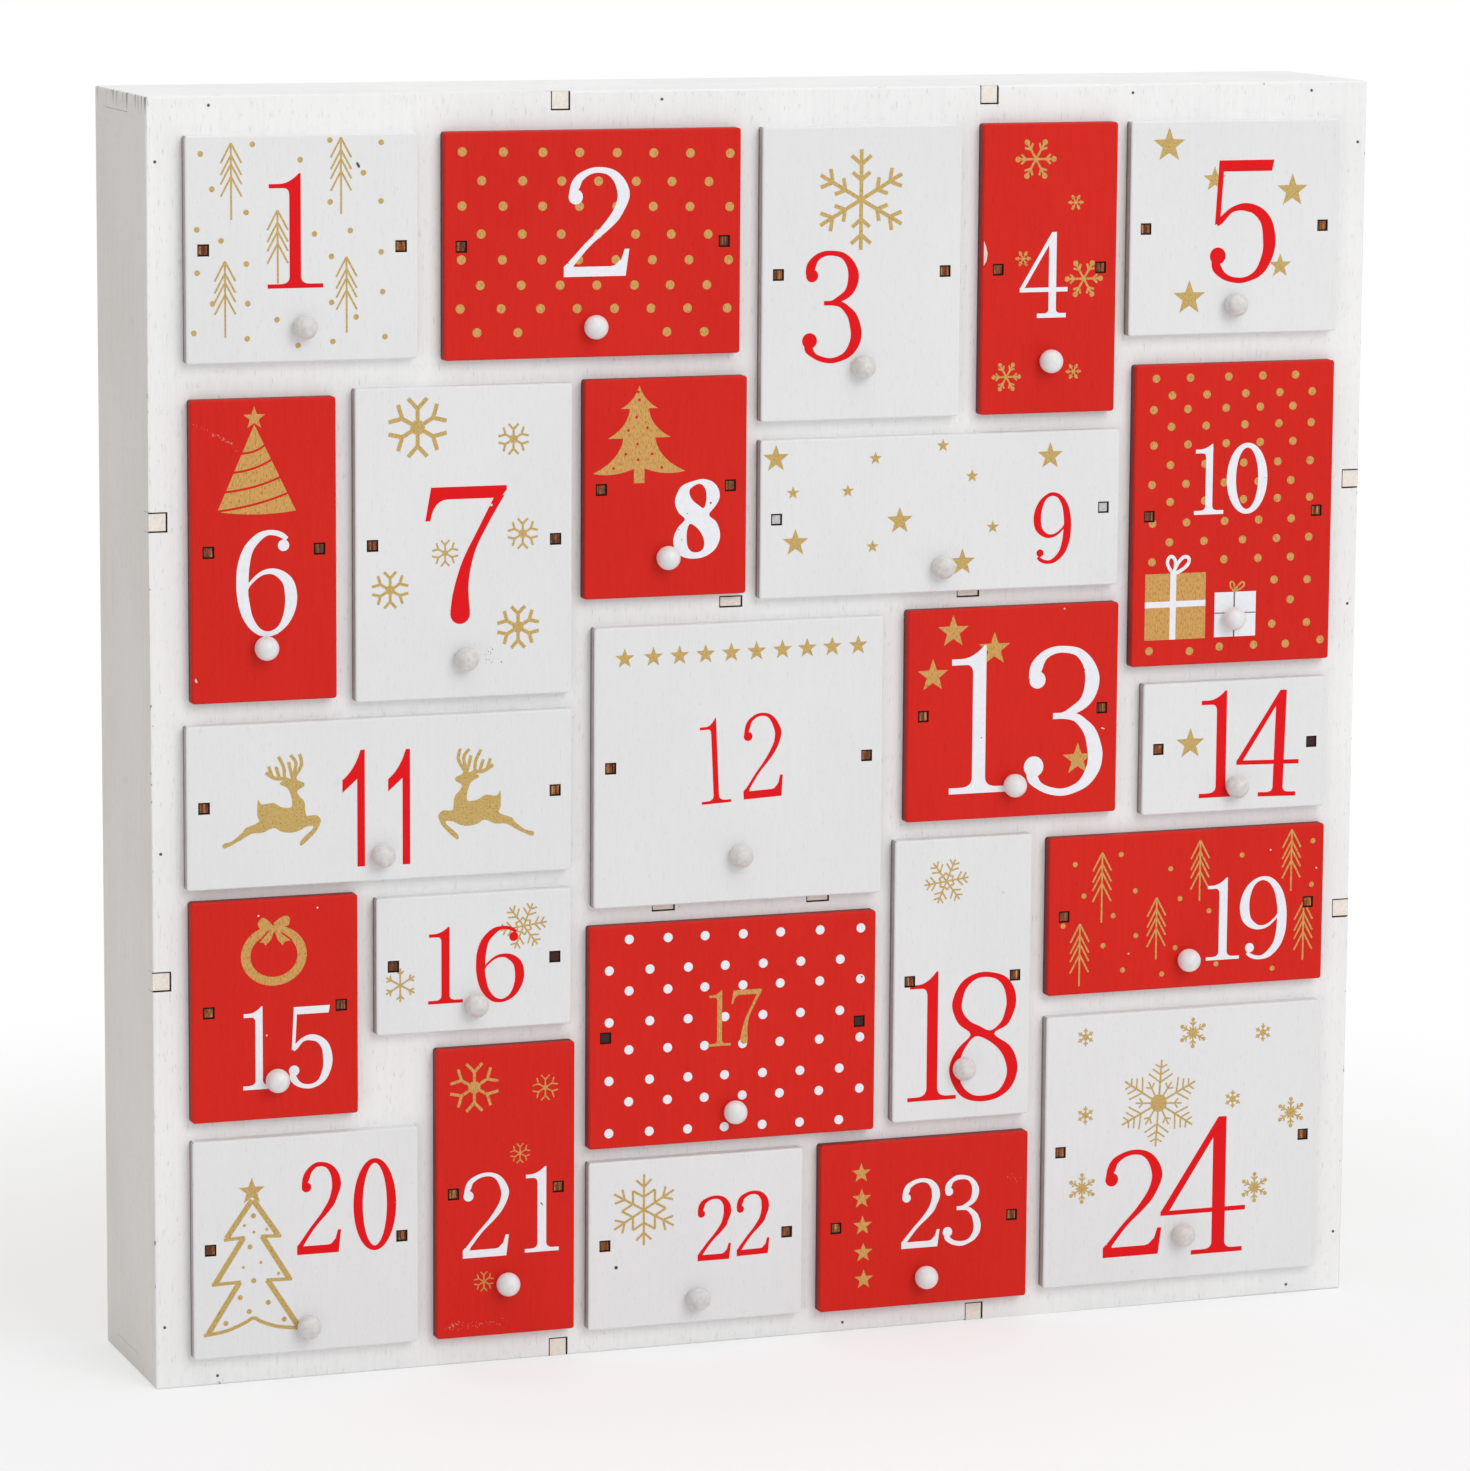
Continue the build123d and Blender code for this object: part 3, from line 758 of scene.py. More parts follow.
def one(w, h, stem, hair):
    left = (w - stem) / 2
    right = left + stem
    rise = 0.066 * h
    flag = 0.872 * h
    post = [(left, rise), (right, rise), (right, h)]
    post += bow((right - 0.15 * stem, h), (left, flag + hair), (left - 0.9 * stem, flag + hair))
    post += [(0.03 * w, flag + hair), (0.03 * w, flag)]
    post += bow((left - 0.5 * stem, flag), (left, flag), (left, flag - rise))
    return [post, foot(left, right, 0, w, hair, rise)]


def flagOne(w, h, stem):
    outline = [(w - stem, 0), (w, 0), (w, h)]
    outline += bow((w - 0.55 * stem, h), (0.55 * w, 0.83 * h), (0, 0.747 * h))
    return [outline + [(0, 0.64 * h), (w - stem, 0.753 * h)]]


def two(w, h, stem, hair, curl=0.0):
    edge = stem / 2 / w
    neck = spine(
        w, h, stem, hair,
        (0.12 + curl, 0.75, 0.5), (0.174 + curl, 0.838, 0.76), (0.239 + curl, 0.907, 0.62),
        (0.37 + curl / 2, 0.959, 0, 1), (0.503, 0.978, 0, 0.94), (0.658, 0.966, 0.5),
        (0.777, 0.924, 0.69), (0.864, 0.852, 0.88), (1 - edge, 0.77, 1), (0.995 - edge, 0.711, 0.95),
        (0.947 - edge, 0.628, 0.81), (0.782, 0.55, 0.77), (0.696, 0.488, 0.67), (0.6, 0.427, 0.55),
        (0.478, 0.359, 0.44), (0.349, 0.284, 0.43), (0.205, 0.186, 0.46), (0.1, 0.113, 0.52))
    base = scaled(
        w, h, (0, 0.094), (0, 0), (0.945, 0), (1, 0.248), (0.93, 0.248), (0.88, 0.155), (0.78, 0.1),
        (0.715, 0.091), (0.145, 0.091), (0.16, 0.115), (0.05, 0.124))
    return neck + [base, disc((0.179 + curl) * w, 0.734 * h, 0.109 * w)]


def three(w, h, stem, hair):
    upper = spine(
        w, h, stem, hair,
        (0.11, 0.79, 0.7), (0.142, 0.869, 0.84), (0.227, 0.938, 0.58), (0.355, 0.974, 0, 1.2),
        (0.5, 0.979, 0, 1.1), (0.66, 0.959, 0.52), (0.765, 0.908, 0.68), (0.831, 0.841, 0.87),
        (0.855, 0.766, 1), (0.823, 0.679, 0.9), (0.744, 0.613, 0.71), (0.599, 0.564, 0.52),
        (0.488, 0.538, 0, 1), (0.36, 0.536, 0, 1))
    lower = spine(
        w, h, stem, hair,
        (0.36, 0.536, 0, 1), (0.5, 0.534, 0, 1), (0.645, 0.521, 0.52), (0.75, 0.475, 0.65),
        (0.843, 0.408, 0.86), (0.895, 0.311, 1), (0.907, 0.249, 1), (0.881, 0.175, 0.95),
        (0.797, 0.098, 0.76), (0.683, 0.051, 0.55), (0.506, 0.023, 0, 1.2), (0.326, 0.038, 0, 1.2),
        (0.192, 0.075, 0, 1.25), (0.11, 0.128, 0.74), (0.07, 0.19, 0.4))
    return upper + lower + [disc(0.157 * w, 0.782 * h, 0.102 * w), disc(0.122 * w, 0.203 * h, 0.125 * w)]


def four(w, h, stem, hair):
    right = 0.76 * w
    left = right - stem
    bar = 0.303 * h
    rise = 0.05 * h
    post = [(left, rise), (right, rise), (right, h), (left + 0.38 * stem, h), (left, 0.851 * h)]
    arm = [
        (0, bar), (0.103 * w, bar + hair), (left, 0.851 * h), (left + 0.5 * stem, h),
        (left + 0.38 * stem, h), (0, bar + 0.8 * hair)]
    base = foot(left, right, 0.366 * w, 0.97 * w, hair, rise)
    return [post, arm, panel(0, w, bar, bar + hair), base]


def five(w, h, stem, hair):
    bar = scaled(w, h, (0.126, 0.91), (0.93, 0.91), (0.96, 1), (0.126, 1))
    post = scaled(w, h, (0.126, 1), (0.075, 0.477), (0.156, 0.53), (0.196, 0.91))
    bowl = spine(
        w, h, stem, hair,
        (0.1, 0.485, 0, 0.8), (0.166, 0.515, 0, 1), (0.302, 0.589, 0, 0.8), (0.427, 0.617, 0, 1),
        (0.54, 0.62, 0, 1.3), (0.673, 0.601, 0.66), (0.791, 0.551, 0.79), (0.872, 0.475, 0.9),
        (0.907, 0.355, 1), (0.894, 0.25, 0.9), (0.819, 0.14, 0.76), (0.724, 0.076, 0.55),
        (0.603, 0.04, 0, 0.9), (0.472, 0.026, 0, 0.9), (0.309, 0.041, 0, 0.94), (0.191, 0.079, 0, 1.2),
        (0.11, 0.137, 0.71), (0.07, 0.21, 0.4))
    return bowl + [bar, post, disc(0.126 * w, 0.228 * h, 0.12 * w)]


def six(w, h, stem, hair):
    run = spine(
        w, h, stem, hair,
        (0.837, 0.915, 0, 0.85), (0.759, 0.952, 0, 1), (0.645, 0.977, 0, 1), (0.518, 0.979, 0, 1),
        (0.389, 0.947, 0.61), (0.259, 0.875, 0.73), (0.175, 0.79, 0.86), (0.117, 0.651, 1),
        (0.102, 0.498, 1), (0.105, 0.406, 0.95), (0.133, 0.299, 0.92), (0.184, 0.192, 0.8),
        (0.271, 0.103, 0.65), (0.38, 0.043, 0.51), (0.506, 0.021, 0, 1), (0.614, 0.032, 0, 1),
        (0.723, 0.073, 0.48), (0.816, 0.146, 0.7), (0.883, 0.251, 0.9), (0.904, 0.359, 1),
        (0.88, 0.466, 0.95), (0.822, 0.534, 0.82), (0.717, 0.587, 0.64), (0.596, 0.614, 0, 1.1),
        (0.464, 0.607, 0, 0.86), (0.349, 0.571, 0, 0.68), (0.229, 0.505, 0, 0.57),
        (0.175, 0.456, 0, 0.57))
    return run + [disc(0.783 * w, 0.856 * h, 0.093 * w)]


def seven(w, h):
    bar = [(1, 1), (0.07, 1), (0, 0.757)]
    bar += bow((0.06, 0.757), (0.1, 0.911), (0.28, 0.911))
    bar += [(0.86, 0.911), (0.95, 0.93), (1, 0.967)]
    leg = curve([(0.839, 0.911), (0.643, 0.684), (0.458, 0.465), (0.345, 0.25), (0.304, 0.092)])
    leg += curve([(0.546, 0.09), (0.529, 0.297), (0.608, 0.527), (0.78, 0.735), (0.974, 0.932)])
    return [scaled(w, h, *bar), scaled(w, h, *leg), disc(0.425 * w, 0.076 * h, 0.121 * w)]


def nine(w, h, stem, hair):
    return moved(six(w, h, stem, hair), w, h, 180)


def zero(w, h, stem, hair, steps=48):
    run = []
    for step in range(steps + 1):
        turn = 2 * math.pi * step / steps
        width = hair + (stem - hair) * abs(math.cos(turn)) ** 1.5
        run.append((w / 2 + math.cos(turn) * (w - stem) / 2, h / 2 + math.sin(turn) * (h - hair) / 2, width))
    return ribbon(run)


# each digit: its shape, left, right, lower and upper edge, and the stem and hairline where it takes them
def digits(*boxes, tilt=0.0):
    outlines = []
    for shape, left, right, low, high, *pen in boxes:
        outlines += moved(shape(right - left, high - low, *pen), left, low)
    u = (boxes[0][1] + boxes[-1][2]) / 2
    v = (boxes[0][3] + boxes[0][4]) / 2
    return moved(moved(outlines, -u, -v), u, v, tilt)


# Motifs

def dots(size, *places):
    return [disc(*place, size / 2) for place in places]


def stars(*places, waist=0.41):
    outlines = []
    for u, v, radius in places:
        outline = []
        for step in range(10):
            reach = radius * (waist if step % 2 else 1)
            turn = math.radians(90 + 36 * step)
            outline.append((u + reach * math.cos(turn), v + reach * math.sin(turn)))
        outlines.append(outline)
    return outlines


firLook = {"tiers": (0, 3.1, 5.5, 8.7), "half": 2.8, "drop": 5.2, "line": 0.5}


# line firs: where each tip is, and how far down its trunk goes
def firs(*places):
    outlines = []
    for u, v, end in places:
        outlines += line((u, v), (u, end), firLook["line"])
        for tier in firLook["tiers"]:
            for side in (-1, 1):
                tip = (u + side * firLook["half"], v - tier - firLook["drop"])
                outlines += line((u, v - tier), tip, firLook["line"])
    return outlines


# a pair of twigs on an upright arm: where they leave it, how far out and how far up they end
def twigs(width, *pairs):
    outlines = []
    for start, out, end in pairs:
        for side in (-1, 1):
            outlines += line((0, start), (side * out, end), width)
    return outlines


def sixfold(arm, turn=0.0):
    outlines = []
    for step in range(6):
        outlines += moved(arm, 0, 0, turn + 60 * step)
    return outlines


def plainFlake(radius, width):
    arm = line((0, 0), (0, radius), width)
    for start, out, end in ((0.7, 0.21, 0.875), (0.39, 0.186, 0.545)):
        arm += twigs(width, (start * radius, out * radius, end * radius))
    return sixfold(arm)


def forkFlake(radius, width, core):
    arm = line((0, 0), (0, 0.68 * radius), width)
    return sixfold(arm + twigs(width, (0.62 * radius, 0.33 * radius, 0.97 * radius))) + [disc(0, 0, core, 6)]


def ballFlake(radius, width):
    arm = line((0, 0), (0, 0.88 * radius), width) + [disc(0, 0.88 * radius, 0.12 * radius + 0.1, 12)]
    return sixfold(arm + twigs(width, (0.5 * radius, 0.22 * radius, 0.72 * radius)), 30)


def gemFlake(radius, width, fork, vee, gem):
    arm = line((0, 0), (0, radius), width) + twigs(width, fork, *vee)
    base, tip = gem
    for side in (-1, 1):
        corner = (side * tip * math.sin(math.radians(30)), tip * math.cos(math.radians(30)))
        arm += line((0, base), corner, width)
    return sixfold(arm)


# flakes of one kind: where each is and its sizes
def flakes(shape, *places):
    outlines = []
    for u, v, *sizes in places:
        outlines += moved(shape(*sizes), u, v)
    return outlines


def place(shape, *places):
    outlines = []
    for u, v, *turn in places:
        outlines += moved(shape, u, v, *turn)
    return outlines


# loose specks scattered in a box
def flecks(seed, count, left, right, low, high, largest):
    dice = random.Random(seed)
    outlines = []
    for _ in range(count):
        size = largest * dice.uniform(0.3, 1)
        spot = []
        for x, y in disc(0, 0, size, 6):
            spot.append((dice.uniform(0.3, 0.6) * x, dice.uniform(0.5, 1) * y))
        outlines += moved([spot], dice.uniform(left, right), dice.uniform(low, high), dice.uniform(-25, 25))
    return outlines


# loose specks strewn along a line
def trail(seed, count, start, end, spread, largest):
    outlines = []
    for step in range(count):
        share = (step + 0.5) / count
        u, v = [a + share * (b - a) for a, b in zip(start, end)]
        outlines += flecks(seed + step, 1, u - spread, u + spread, v - spread, v + spread, largest)
    return outlines


def area(outline):
    return sum(a[0] * b[1] - b[0] * a[1] for a, b in zip(outline, outline[1:] + outline[:1])) / 2


# layers go on in order, later ones on top; a bare layer leaves the front showing
def makePrint(number, *layers, shift=(0, 0)):
    body, node, tray = namesOf(number)
    low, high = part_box(node)
    middle = (low + high) / 2
    shapes = []
    for ink, outlines in layers:
        for outline in moved(outlines, *shift):
            shapes.append((outline, ink))
    for tabLow, tabHigh in tabEnds(tray):
        room = frontShape["slotRoom"]
        left, right = [(side - middle.x) / mm for side in (tabLow.x, tabHigh.x)]
        under, over = [(side - middle.z) / mm for side in (tabLow.z, tabHigh.z)]
        shapes.append((panel(left - room, right + room, under - room, over + room), "bare"))
    points = []
    loops = []
    for outline, _ in shapes:
        if area(outline) < 0:
            outline = outline[::-1]
        loops.append(range(len(points), len(points) + len(outline)))
        points += [Vector(point) for point in outline]
    corners, _, faces, _, _, sources = delaunay_2d_cdt(points, [], loops, 1, printFit["merge"])
    used = sorted({ink for ink, _ in layers if ink != "bare"})
    bm = bmesh.new()
    back = frontPlane(number) + printFit["sunk"] * mm
    made = [bm.verts.new((middle.x + u * mm, back, middle.z + v * mm)) for u, v in corners]
    for face, source in zip(faces, sources):
        ink = shapes[max(source)][1] if source else "bare"
        if ink != "bare":
            bm.faces.new([made[index] for index in face]).material_index = used.index(ink)
    bmesh.ops.delete(bm, geom=[corner for corner in bm.verts if not corner.link_faces], context="VERTS")
    grown = bmesh.ops.extrude_face_region(bm, geom=bm.faces[:], use_keep_orig=True)["geom"]
    raised = [item for item in grown if isinstance(item, bmesh.types.BMVert)]
    depth = (printFit["thick"] + printFit["sunk"]) * mm
    bmesh.ops.translate(bm, vec=(0, -depth, 0), verts=raised)
    bmesh.ops.recalc_face_normals(bm, faces=bm.faces[:])
    addPiece(f"drawer{number:02d}Print", bm, body, [inks[ink] for ink in used])


makePrint(
    1,
    ("gold", firs(
        (-19.1, 27.1, 7.1), (10.7, 28.1, 8.1), (-6.6, 9.4, -9.8), (-20.9, -3.7, -23.7),
        (12.1, -3.2, -23.2))),
    ("gold", dots(
        1.5, (-27.3, 24.4), (-13.3, 26.7), (-0.4, 22.5), (7.7, 27.5), (21.7, 26.7), (16.8, 18.8),
        (-24.3, 15.2), (7.7, 11.3), (21.6, 11.3), (-15.1, 9), (-28.4, 4.7), (-21.9, 1.7), (3.4, 3),
        (13.2, 3.7), (-15.1, -4.5), (8, -3), (21.6, -2.1), (-28.4, -6.6), (22, -12.6), (-24.3, -14.7),
        (-14.8, -14.9), (8, -15.1), (14.7, -19.1), (-6.9, -19.3), (-29.4, -22.3), (-15, -24.1),
        (-1.2, -26.2), (8.3, -25.4), (22.6, -24.5))),
    ("soot", [[(14.9, 21.7), (15.4, 21.5), (15.9, 20.6), (15.8, 20.1), (15.4, 20.2), (14.9, 21)]]),
    ("red", digits((one, -9.4, 5.7, -11.1, 19, 3.1, 1.1))),
    shift=(-0.2, 0.7))


# staggered rows of dots, sloping a little as the front does in its case, the lower rows drifting sideways
def spottedRows(size, odd, even, heights, slope, drift=0.0, last=()):
    places = []
    for row, v in enumerate(heights):
        across = even if row % 2 else odd
        if last and row == len(heights) - 1:
            across = last
        places += [(u + drift * row ** 2, v + slope * u) for u in across]
    return dots(size, *places)


makePrint(
    2,
    ("warmGold", spottedRows(
        2.5, (-36.7, -25.3, -14.3, -4, 6.5, 16.8, 27.2, 38.5), (-31.3, -19.9, -9, 1.3, 11.9, 22, 32.5),
        (24.3, 16.7, 10, 2.6, -4.25, -11, -17.25, -23.6), -0.0205, -0.017, (-31.8, -20.4, 21.6, 32.2))),
    ("white", digits((two, -8.4, 10, -8.7, 20.3, 3.4, 1.6))))

makePrint(
    3,
    ("gold", flakes(plainFlake, (-0.5, 19.9, 13.6, 1.05))),
    ("red", digits((three, -17.2, 0, -24.3, 6.2, 3.1, 1.2))))

makePrint(
    4,
    ("warmGold", flakes(
        ballFlake, (-4.5, 30, 6, 0.6), (10.2, -3, 5.6, 0.6), (-12.4, -29.5, 4.3, 0.5), (7.5, 18, 2.2, 0.36),
        (-7.9, 2.9, 2.2, 0.36), (7.5, -28.5, 2.2, 0.36))),
    ("dust", [[(-19.5, 8), (-18.9, 6.5), (-18.4, 4.5), (-18.7, 2.5), (-19.5, 1.2)]]),
    ("white", digits((four, -8.8, 5.4, -13.5, 10, 2.2, 1.2))))

makePrint(
    5,
    ("gold", stars(
        (-20.2, 22.9, 5), (-6.3, 13.3, 3.6), (17.3, 9.8, 4.8), (14, -11, 3.5), (-13.4, -19.4, 5))),
    ("red", digits((five, -7.5, 12.4, -15.7, 18.5, 3.8, 1.7))))

coneLook = {"sag": 1.2, "band": 0.6, "steps": 8}
coneTree = [(-2.5, 33.5)] + bow((-12.7, 10.7), (-2, 8.9), (8.7, 10.4), coneLook["steps"])
coneBands = []
for bandStart, bandEnd in (
    ((-6.6, 25.9), (0.6, 28.3)), ((-8.6, 20.9), (2.6, 24.4)), ((-11, 15.8), (4.9, 19.6)),
    ((-12.9, 10.8), (7, 15.3)),
):
    across, up = [(a + b) / 2 for a, b in zip(bandStart, bandEnd)]
    bandPull = (across + coneLook["sag"], up - coneLook["sag"])
    band = bow(bandStart, bandPull, bandEnd, coneLook["steps"])
    coneBands += ribbon([(*point, coneLook["band"]) for point in band])
makePrint(
    6,
    ("warmGold", [coneTree]),
    ("bare", coneBands),
    ("warmGold", stars((-2.5, 35.2, 3.1))),
    ("scuff", trail(600, 26, (-19, 34.6), (-6.6, 26.9), 0.6, 0.24)),
    ("scuff", trail(640, 28, (-14.4, 31.6), (-8, 28.3), 0.4, 0.36)),
    ("dust", flecks(6, 5, -19, -18.2, -35, -33.4, 0.5)),
    ("white", digits((six, -7.7, 8.9, -22.8, 5.3, 3.3, 1.4))))

makePrint(
    7,
    ("gold", flakes(
        forkFlake, (-13, 31.2, 8, 1.1, 2.1), (15, -23.4, 5.8, 0.95, 1.6), (-20.7, -12, 5, 0.75, 1.3),
        (16.3, 1.8, 4.2, 0.6, 1.2), (13.7, 27.3, 4.2, 0.6, 1.2), (-5.4, -2.7, 3.6, 0.5, 0.8))),
    ("soot", flecks(7, 13, 5.9, 8.3, -32.8, -28.3, 0.28)),
    ("soot", dots(0.35, (10.3, -32.7))),
    ("red", digits((seven, -10.9, 11.8, -22, 15))),
    ("bare", dots(0.7, (7.5, 9.8))))

# a solid fir: its right half, each tier's edge drawn in a little
firHalf = bow((0, 27.8), (1.6, 23.3), (5.35, 21.65)) + bow((2.7, 21.65), (3.1, 16.7), (8.9, 13.7))
firHalf += bow((4.5, 13.7), (5.4, 7.8), (13.1, 4.4)) + bow((13.1, 4.4), (7.4, 3.1), (1.5, 5.4))
firHalf += [(1.5, 1.5)]
firSolid = firHalf + [(-u, v) for u, v in firHalf[:0:-1]]
boldEight = ring(
    4,
    (8.9, 1.8), (4.65, 0.4), (2.9, -2.3), (2.6, -4.6), (3.65, -7), (5.4, -8.8), (3.5, -10.9),
    (2.3, -13.35), (2.2, -15.65), (3.3, -17.95), (5.4, -19.2), (8.1, -19.6), (11.2, -19.1), (13.9, -17.4),
    (15.3, -14.9), (15.4, -12.4), (14.3, -9.7), (12.3, -7.8), (14.1, -5.5), (15.3, -3.2), (15, -0.9),
    (13.5, 1), (11.2, 1.9))
boldHollows = [
    ring(
        4,
        (8.9, 0.65), (10.4, 0.4), (11.4, -1.3), (11.5, -4), (10.8, -5.9), (9.65, -5.35), (7.7, -3.8),
        (6.7, -2), (6.95, -0.5)),
    ring(
        4,
        (6.8, -10.1), (8.5, -10.9), (10, -12.6), (10.9, -14.7), (10.8, -16.7), (9.65, -17.8),
        (7.7, -17.8), (6.4, -16.65), (5.95, -14.7), (6, -12)),
]
makePrint(
    8,
    ("warmGold", moved([firSolid], -7.7, 0)),
    ("bare", dots(
        0.8, (-8, 26.1), (-7.7, 24), (-8.5, 19.3), (-5.4, 16.4), (-10.8, 15.8), (-8.2, 12.1), (-11.5, 9.4),
        (-4, 9.3), (-8, 7.8), (-15, 5.7), (-1.3, 5.5))),
    ("white", [boldEight]),
    ("soot", dots(0.55, (12.8, -4.6)) + dots(0.3, (6, -7.2), (4.5, -14.3), (3.6, -11.5))),
    ("bare", boldHollows))

makePrint(
    9,
    ("gold", stars(
        (-48.5, 16.6, 3.9), (32, 14.8, 3.9), (-12.3, -1.6, 3.9), (-42.7, -6.6, 3.9), (6.3, -13.8, 3.9),
        (-19.6, 15.8, 1.9), (0.2, 18.7, 1.9), (8.9, 10, 1.9), (-43.5, 7.1, 1.9), (-27.6, 7.1, 1.9),
        (15.2, -4.3, 1.9), (-20.2, -8.4, 1.9))),
    ("red", digits((nine, 27.2, 38.6, -15.1, 4.6, 2.2, 1), tilt=-2.5)))

giftDots = []
giftRows = (38.4, 33.6, 29.7, 24.9, 19.8, 14.2, 8.8, 3.9, -2, -7.4)
giftDrift = (0.4, 0.1, -0.2, 0, 0, -0.1, -0.4, 0, 0, 0)
for row, v in enumerate(giftRows):
    across = (-19.3, -8.8, 3, 13.4, 23.3) if row % 2 else (-24.5, -14.2, -2.6, 7.8, 17.8)
    giftDots += [(u + giftDrift[row], v) for u in across]
giftDots += [(-24.5, -12.8), (-2.6, -12.8), (7.8, -12.8), (17.8, -12.8)]
giftDots += [(12.9, -19.1), (23.1, -19.4), (18, -24.9)]
giftDots += [(12.5, -31.6), (23.2, -31.6), (-24.9, -37.8), (-12.6, -38.3), (-3.5, -37.4), (7, -37.3)]
giftDots += [(16.8, -37.4), (27.5, -36.7)]
makePrint(
    10,
    ("warmGold", dots(2.3, *giftDots)),
    ("warmGold", [panel(-26.4, -8, -34.8, -16.2)]),
    ("white", [panel(-18.8, -17, -34.8, -15.6), panel(-26.4, -8, -25.7, -24)]),
    ("white", smoothLine(
        0.95, (-17.9, -16.2), (-19.7, -13.6), (-19.3, -11.7), (-18.1, -11.6), (-17.3, -13.2), closed=True)),
    ("white", smoothLine(
        1.0, (-17.8, -16.2), (-16.6, -13.4), (-14.8, -11.7), (-13.3, -12.1), (-13.6, -13.8), (-15.6, -15.4),
        closed=True)),
    ("white", [panel(-5.2, 7.4, -34.7, -22.1)]),
    ("twine", line((0.8, -34.7), (0.8, -21.6), 0.42) + line((-5.2, -27.9), (7.4, -28.1), 0.3)),
    ("warmGold", smoothLine(
        0.5, (0.9, -22), (-0.4, -20.6), (-0.4, -19.3), (0.4, -19.4), (0.8, -20.6), closed=True)),
    ("warmGold", smoothLine(
        0.5, (0.9, -22), (1.9, -20.4), (3.2, -19.4), (3.8, -20.1), (2.9, -21.1), closed=True)),
    ("white", digits((one, -12, -3.1, 0, 19.7, 2.1, 1.1), (zero, -2.2, 10.2, -0.2, 19.7, 2.8, 1.3))))

deerBody = ring(
    3,
    (-33.7, 1.6), (-32.7, 0.3), (-29.5, 0.6), (-27.5, -0.6), (-24.7, -0.9), (-24.3, 0.8), (-24.8, 2.8),
    (-25.6, 4.4), (-27.6, 5.5), (-27, 6.3), (-25.2, 6.4), (-24.2, 7.4), (-23.2, 7.6), (-22.9, 6.5),
    (-21.2, 5.7), (-20.9, 5.1), (-21.3, 4.5), (-22.9, 3.4), (-22.2, 1.9), (-20.9, 0.4), (-20.6, -2.7),
    (-20, -3.4), (-17.7, -3.3), (-16.5, -4.4), (-16.6, -5.6), (-18, -8), (-21.7, -11.3), (-22.1, -10.2),
    (-20.5, -8.6), (-18.7, -7), (-18.6, -6.2), (-20.4, -6.3), (-22.5, -7.3), (-24.8, -7.7), (-27.5, -7.2),
    (-29.4, -6.1), (-32.5, -7.3), (-35.5, -7.4), (-38.5, -9), (-42.9, -11), (-43.3, -9.8), (-41, -9.2),
    (-37.9, -6.9), (-37.1, -5.8), (-33.5, -4.4), (-33.9, -2.5))
deerAntlers = smoothLine(1.0, (-24.9, 6.4), (-26.8, 7), (-29, 7.2), (-31.5, 8.8))
deerAntlers += line((-29.8, 7.6), (-30.7, 10.5), 0.9) + line((-27.8, 7.2), (-28.7, 10.3), 0.9)
deerAntlers += smoothLine(0.9, (-26.4, 7), (-26.6, 10), (-28, 13))
deerAntlers += smoothLine(0.9, (-24.2, 7.2), (-24.7, 9), (-25.2, 11.4))
deerAntlers += smoothLine(0.9, (-24, 7.5), (-23.2, 11), (-24.7, 13.2))
deerAntlers += smoothLine(0.9, (-23.6, 7.2), (-21.7, 10.5), (-22.2, 13.4))
deer = [deerBody] + deerAntlers
makePrint(
    11,
    ("gold", deer),
    ("gold", moved(flipped(deer), 0, -0.2, -1.3)),
    ("red", digits((flagOne, -10.4, -4.2, -17.9, 13.7, 2.1), (flagOne, 2.3, 8.4, -18, 13.3, 2.1))),
    shift=(-0.4, 0))

starRow = (-33.2, -25, -17.5, -10, -2.6, 4.7, 12.2, 19.4, 26.7, 34.3)
makePrint(
    12,
    ("gold", stars(*[(u, 30.3 + 0.012 * u, 2.85) for u in starRow])),
    ("dust", dots(0.5, (-11.7, 16.5)) + line((-5.65, -11.7), (-5.6, -12.6), 0.25)),
    ("red", digits((one, -11.4, -2.9, -11.1, 12.5, 1.55, 0.75), tilt=2.7)),
    ("red", digits((two, 0.7, 12.3, -10.2, 13.4, 1.85, 0.9, -0.01), tilt=2.7)))

makePrint(
    13,
    ("warmGold", stars((-18.1, 23.2, 4.7), (-5.8, 17.9, 4.8), (-24, 11.2, 4.7), (19.6, -14.2, 4.7))),
    ("dust", dots(0.5, (15, 28.3)) + line((26.6, -5.7), (27.6, -6), 0.3)),
    ("white", digits((one, -18.9, -1.3, -22.2, 19.1, 3.9, 1.7), (three, 3.5, 27.1, -24.2, 17.8, 4.3, 1.7))),
    ("soot", dots(0.4, (-9.4, -6.7), (21.3, 10.9))))

makePrint(
    14,
    ("gold", stars((-13.8, 1.1, 4.5))),
    ("dust", dots(0.6, (-3.65, 16.4))),
    ("red", digits((one, -10.9, 2.3, -14.5, 15.8, 3, 1.2))),
    ("red", digits((four, 0.6, 19.8, -15, 15.3, 3.1, 1.2), tilt=-1.5)))

wreathLook = {"steps": 48, "middle": (-0.8, 14.6), "reach": (7.8, 6.98), "wide": 2.6, "thinned": 0.25}
wreath = []
for step in range(wreathLook["steps"] + 1):
    turn = 2 * math.pi * step / wreathLook["steps"]
    u = wreathLook["middle"][0] + wreathLook["reach"][0] * math.cos(turn)
    v = wreathLook["middle"][1] + wreathLook["reach"][1] * math.sin(turn)
    wreath.append((u, v, wreathLook["wide"] - wreathLook["thinned"] * abs(math.sin(turn))))
bowTails = [
    [(-1.5, 21.8), (-4.7, 18.4), (-3.6, 18.2), (-3.1, 17.4), (-1.4, 19.2), (-0.9, 21)],
    [(-0.5, 21), (0.3, 18.8), (1.6, 17.3), (2.2, 18.2), (3.8, 18.5), (1.2, 20.5)],
]
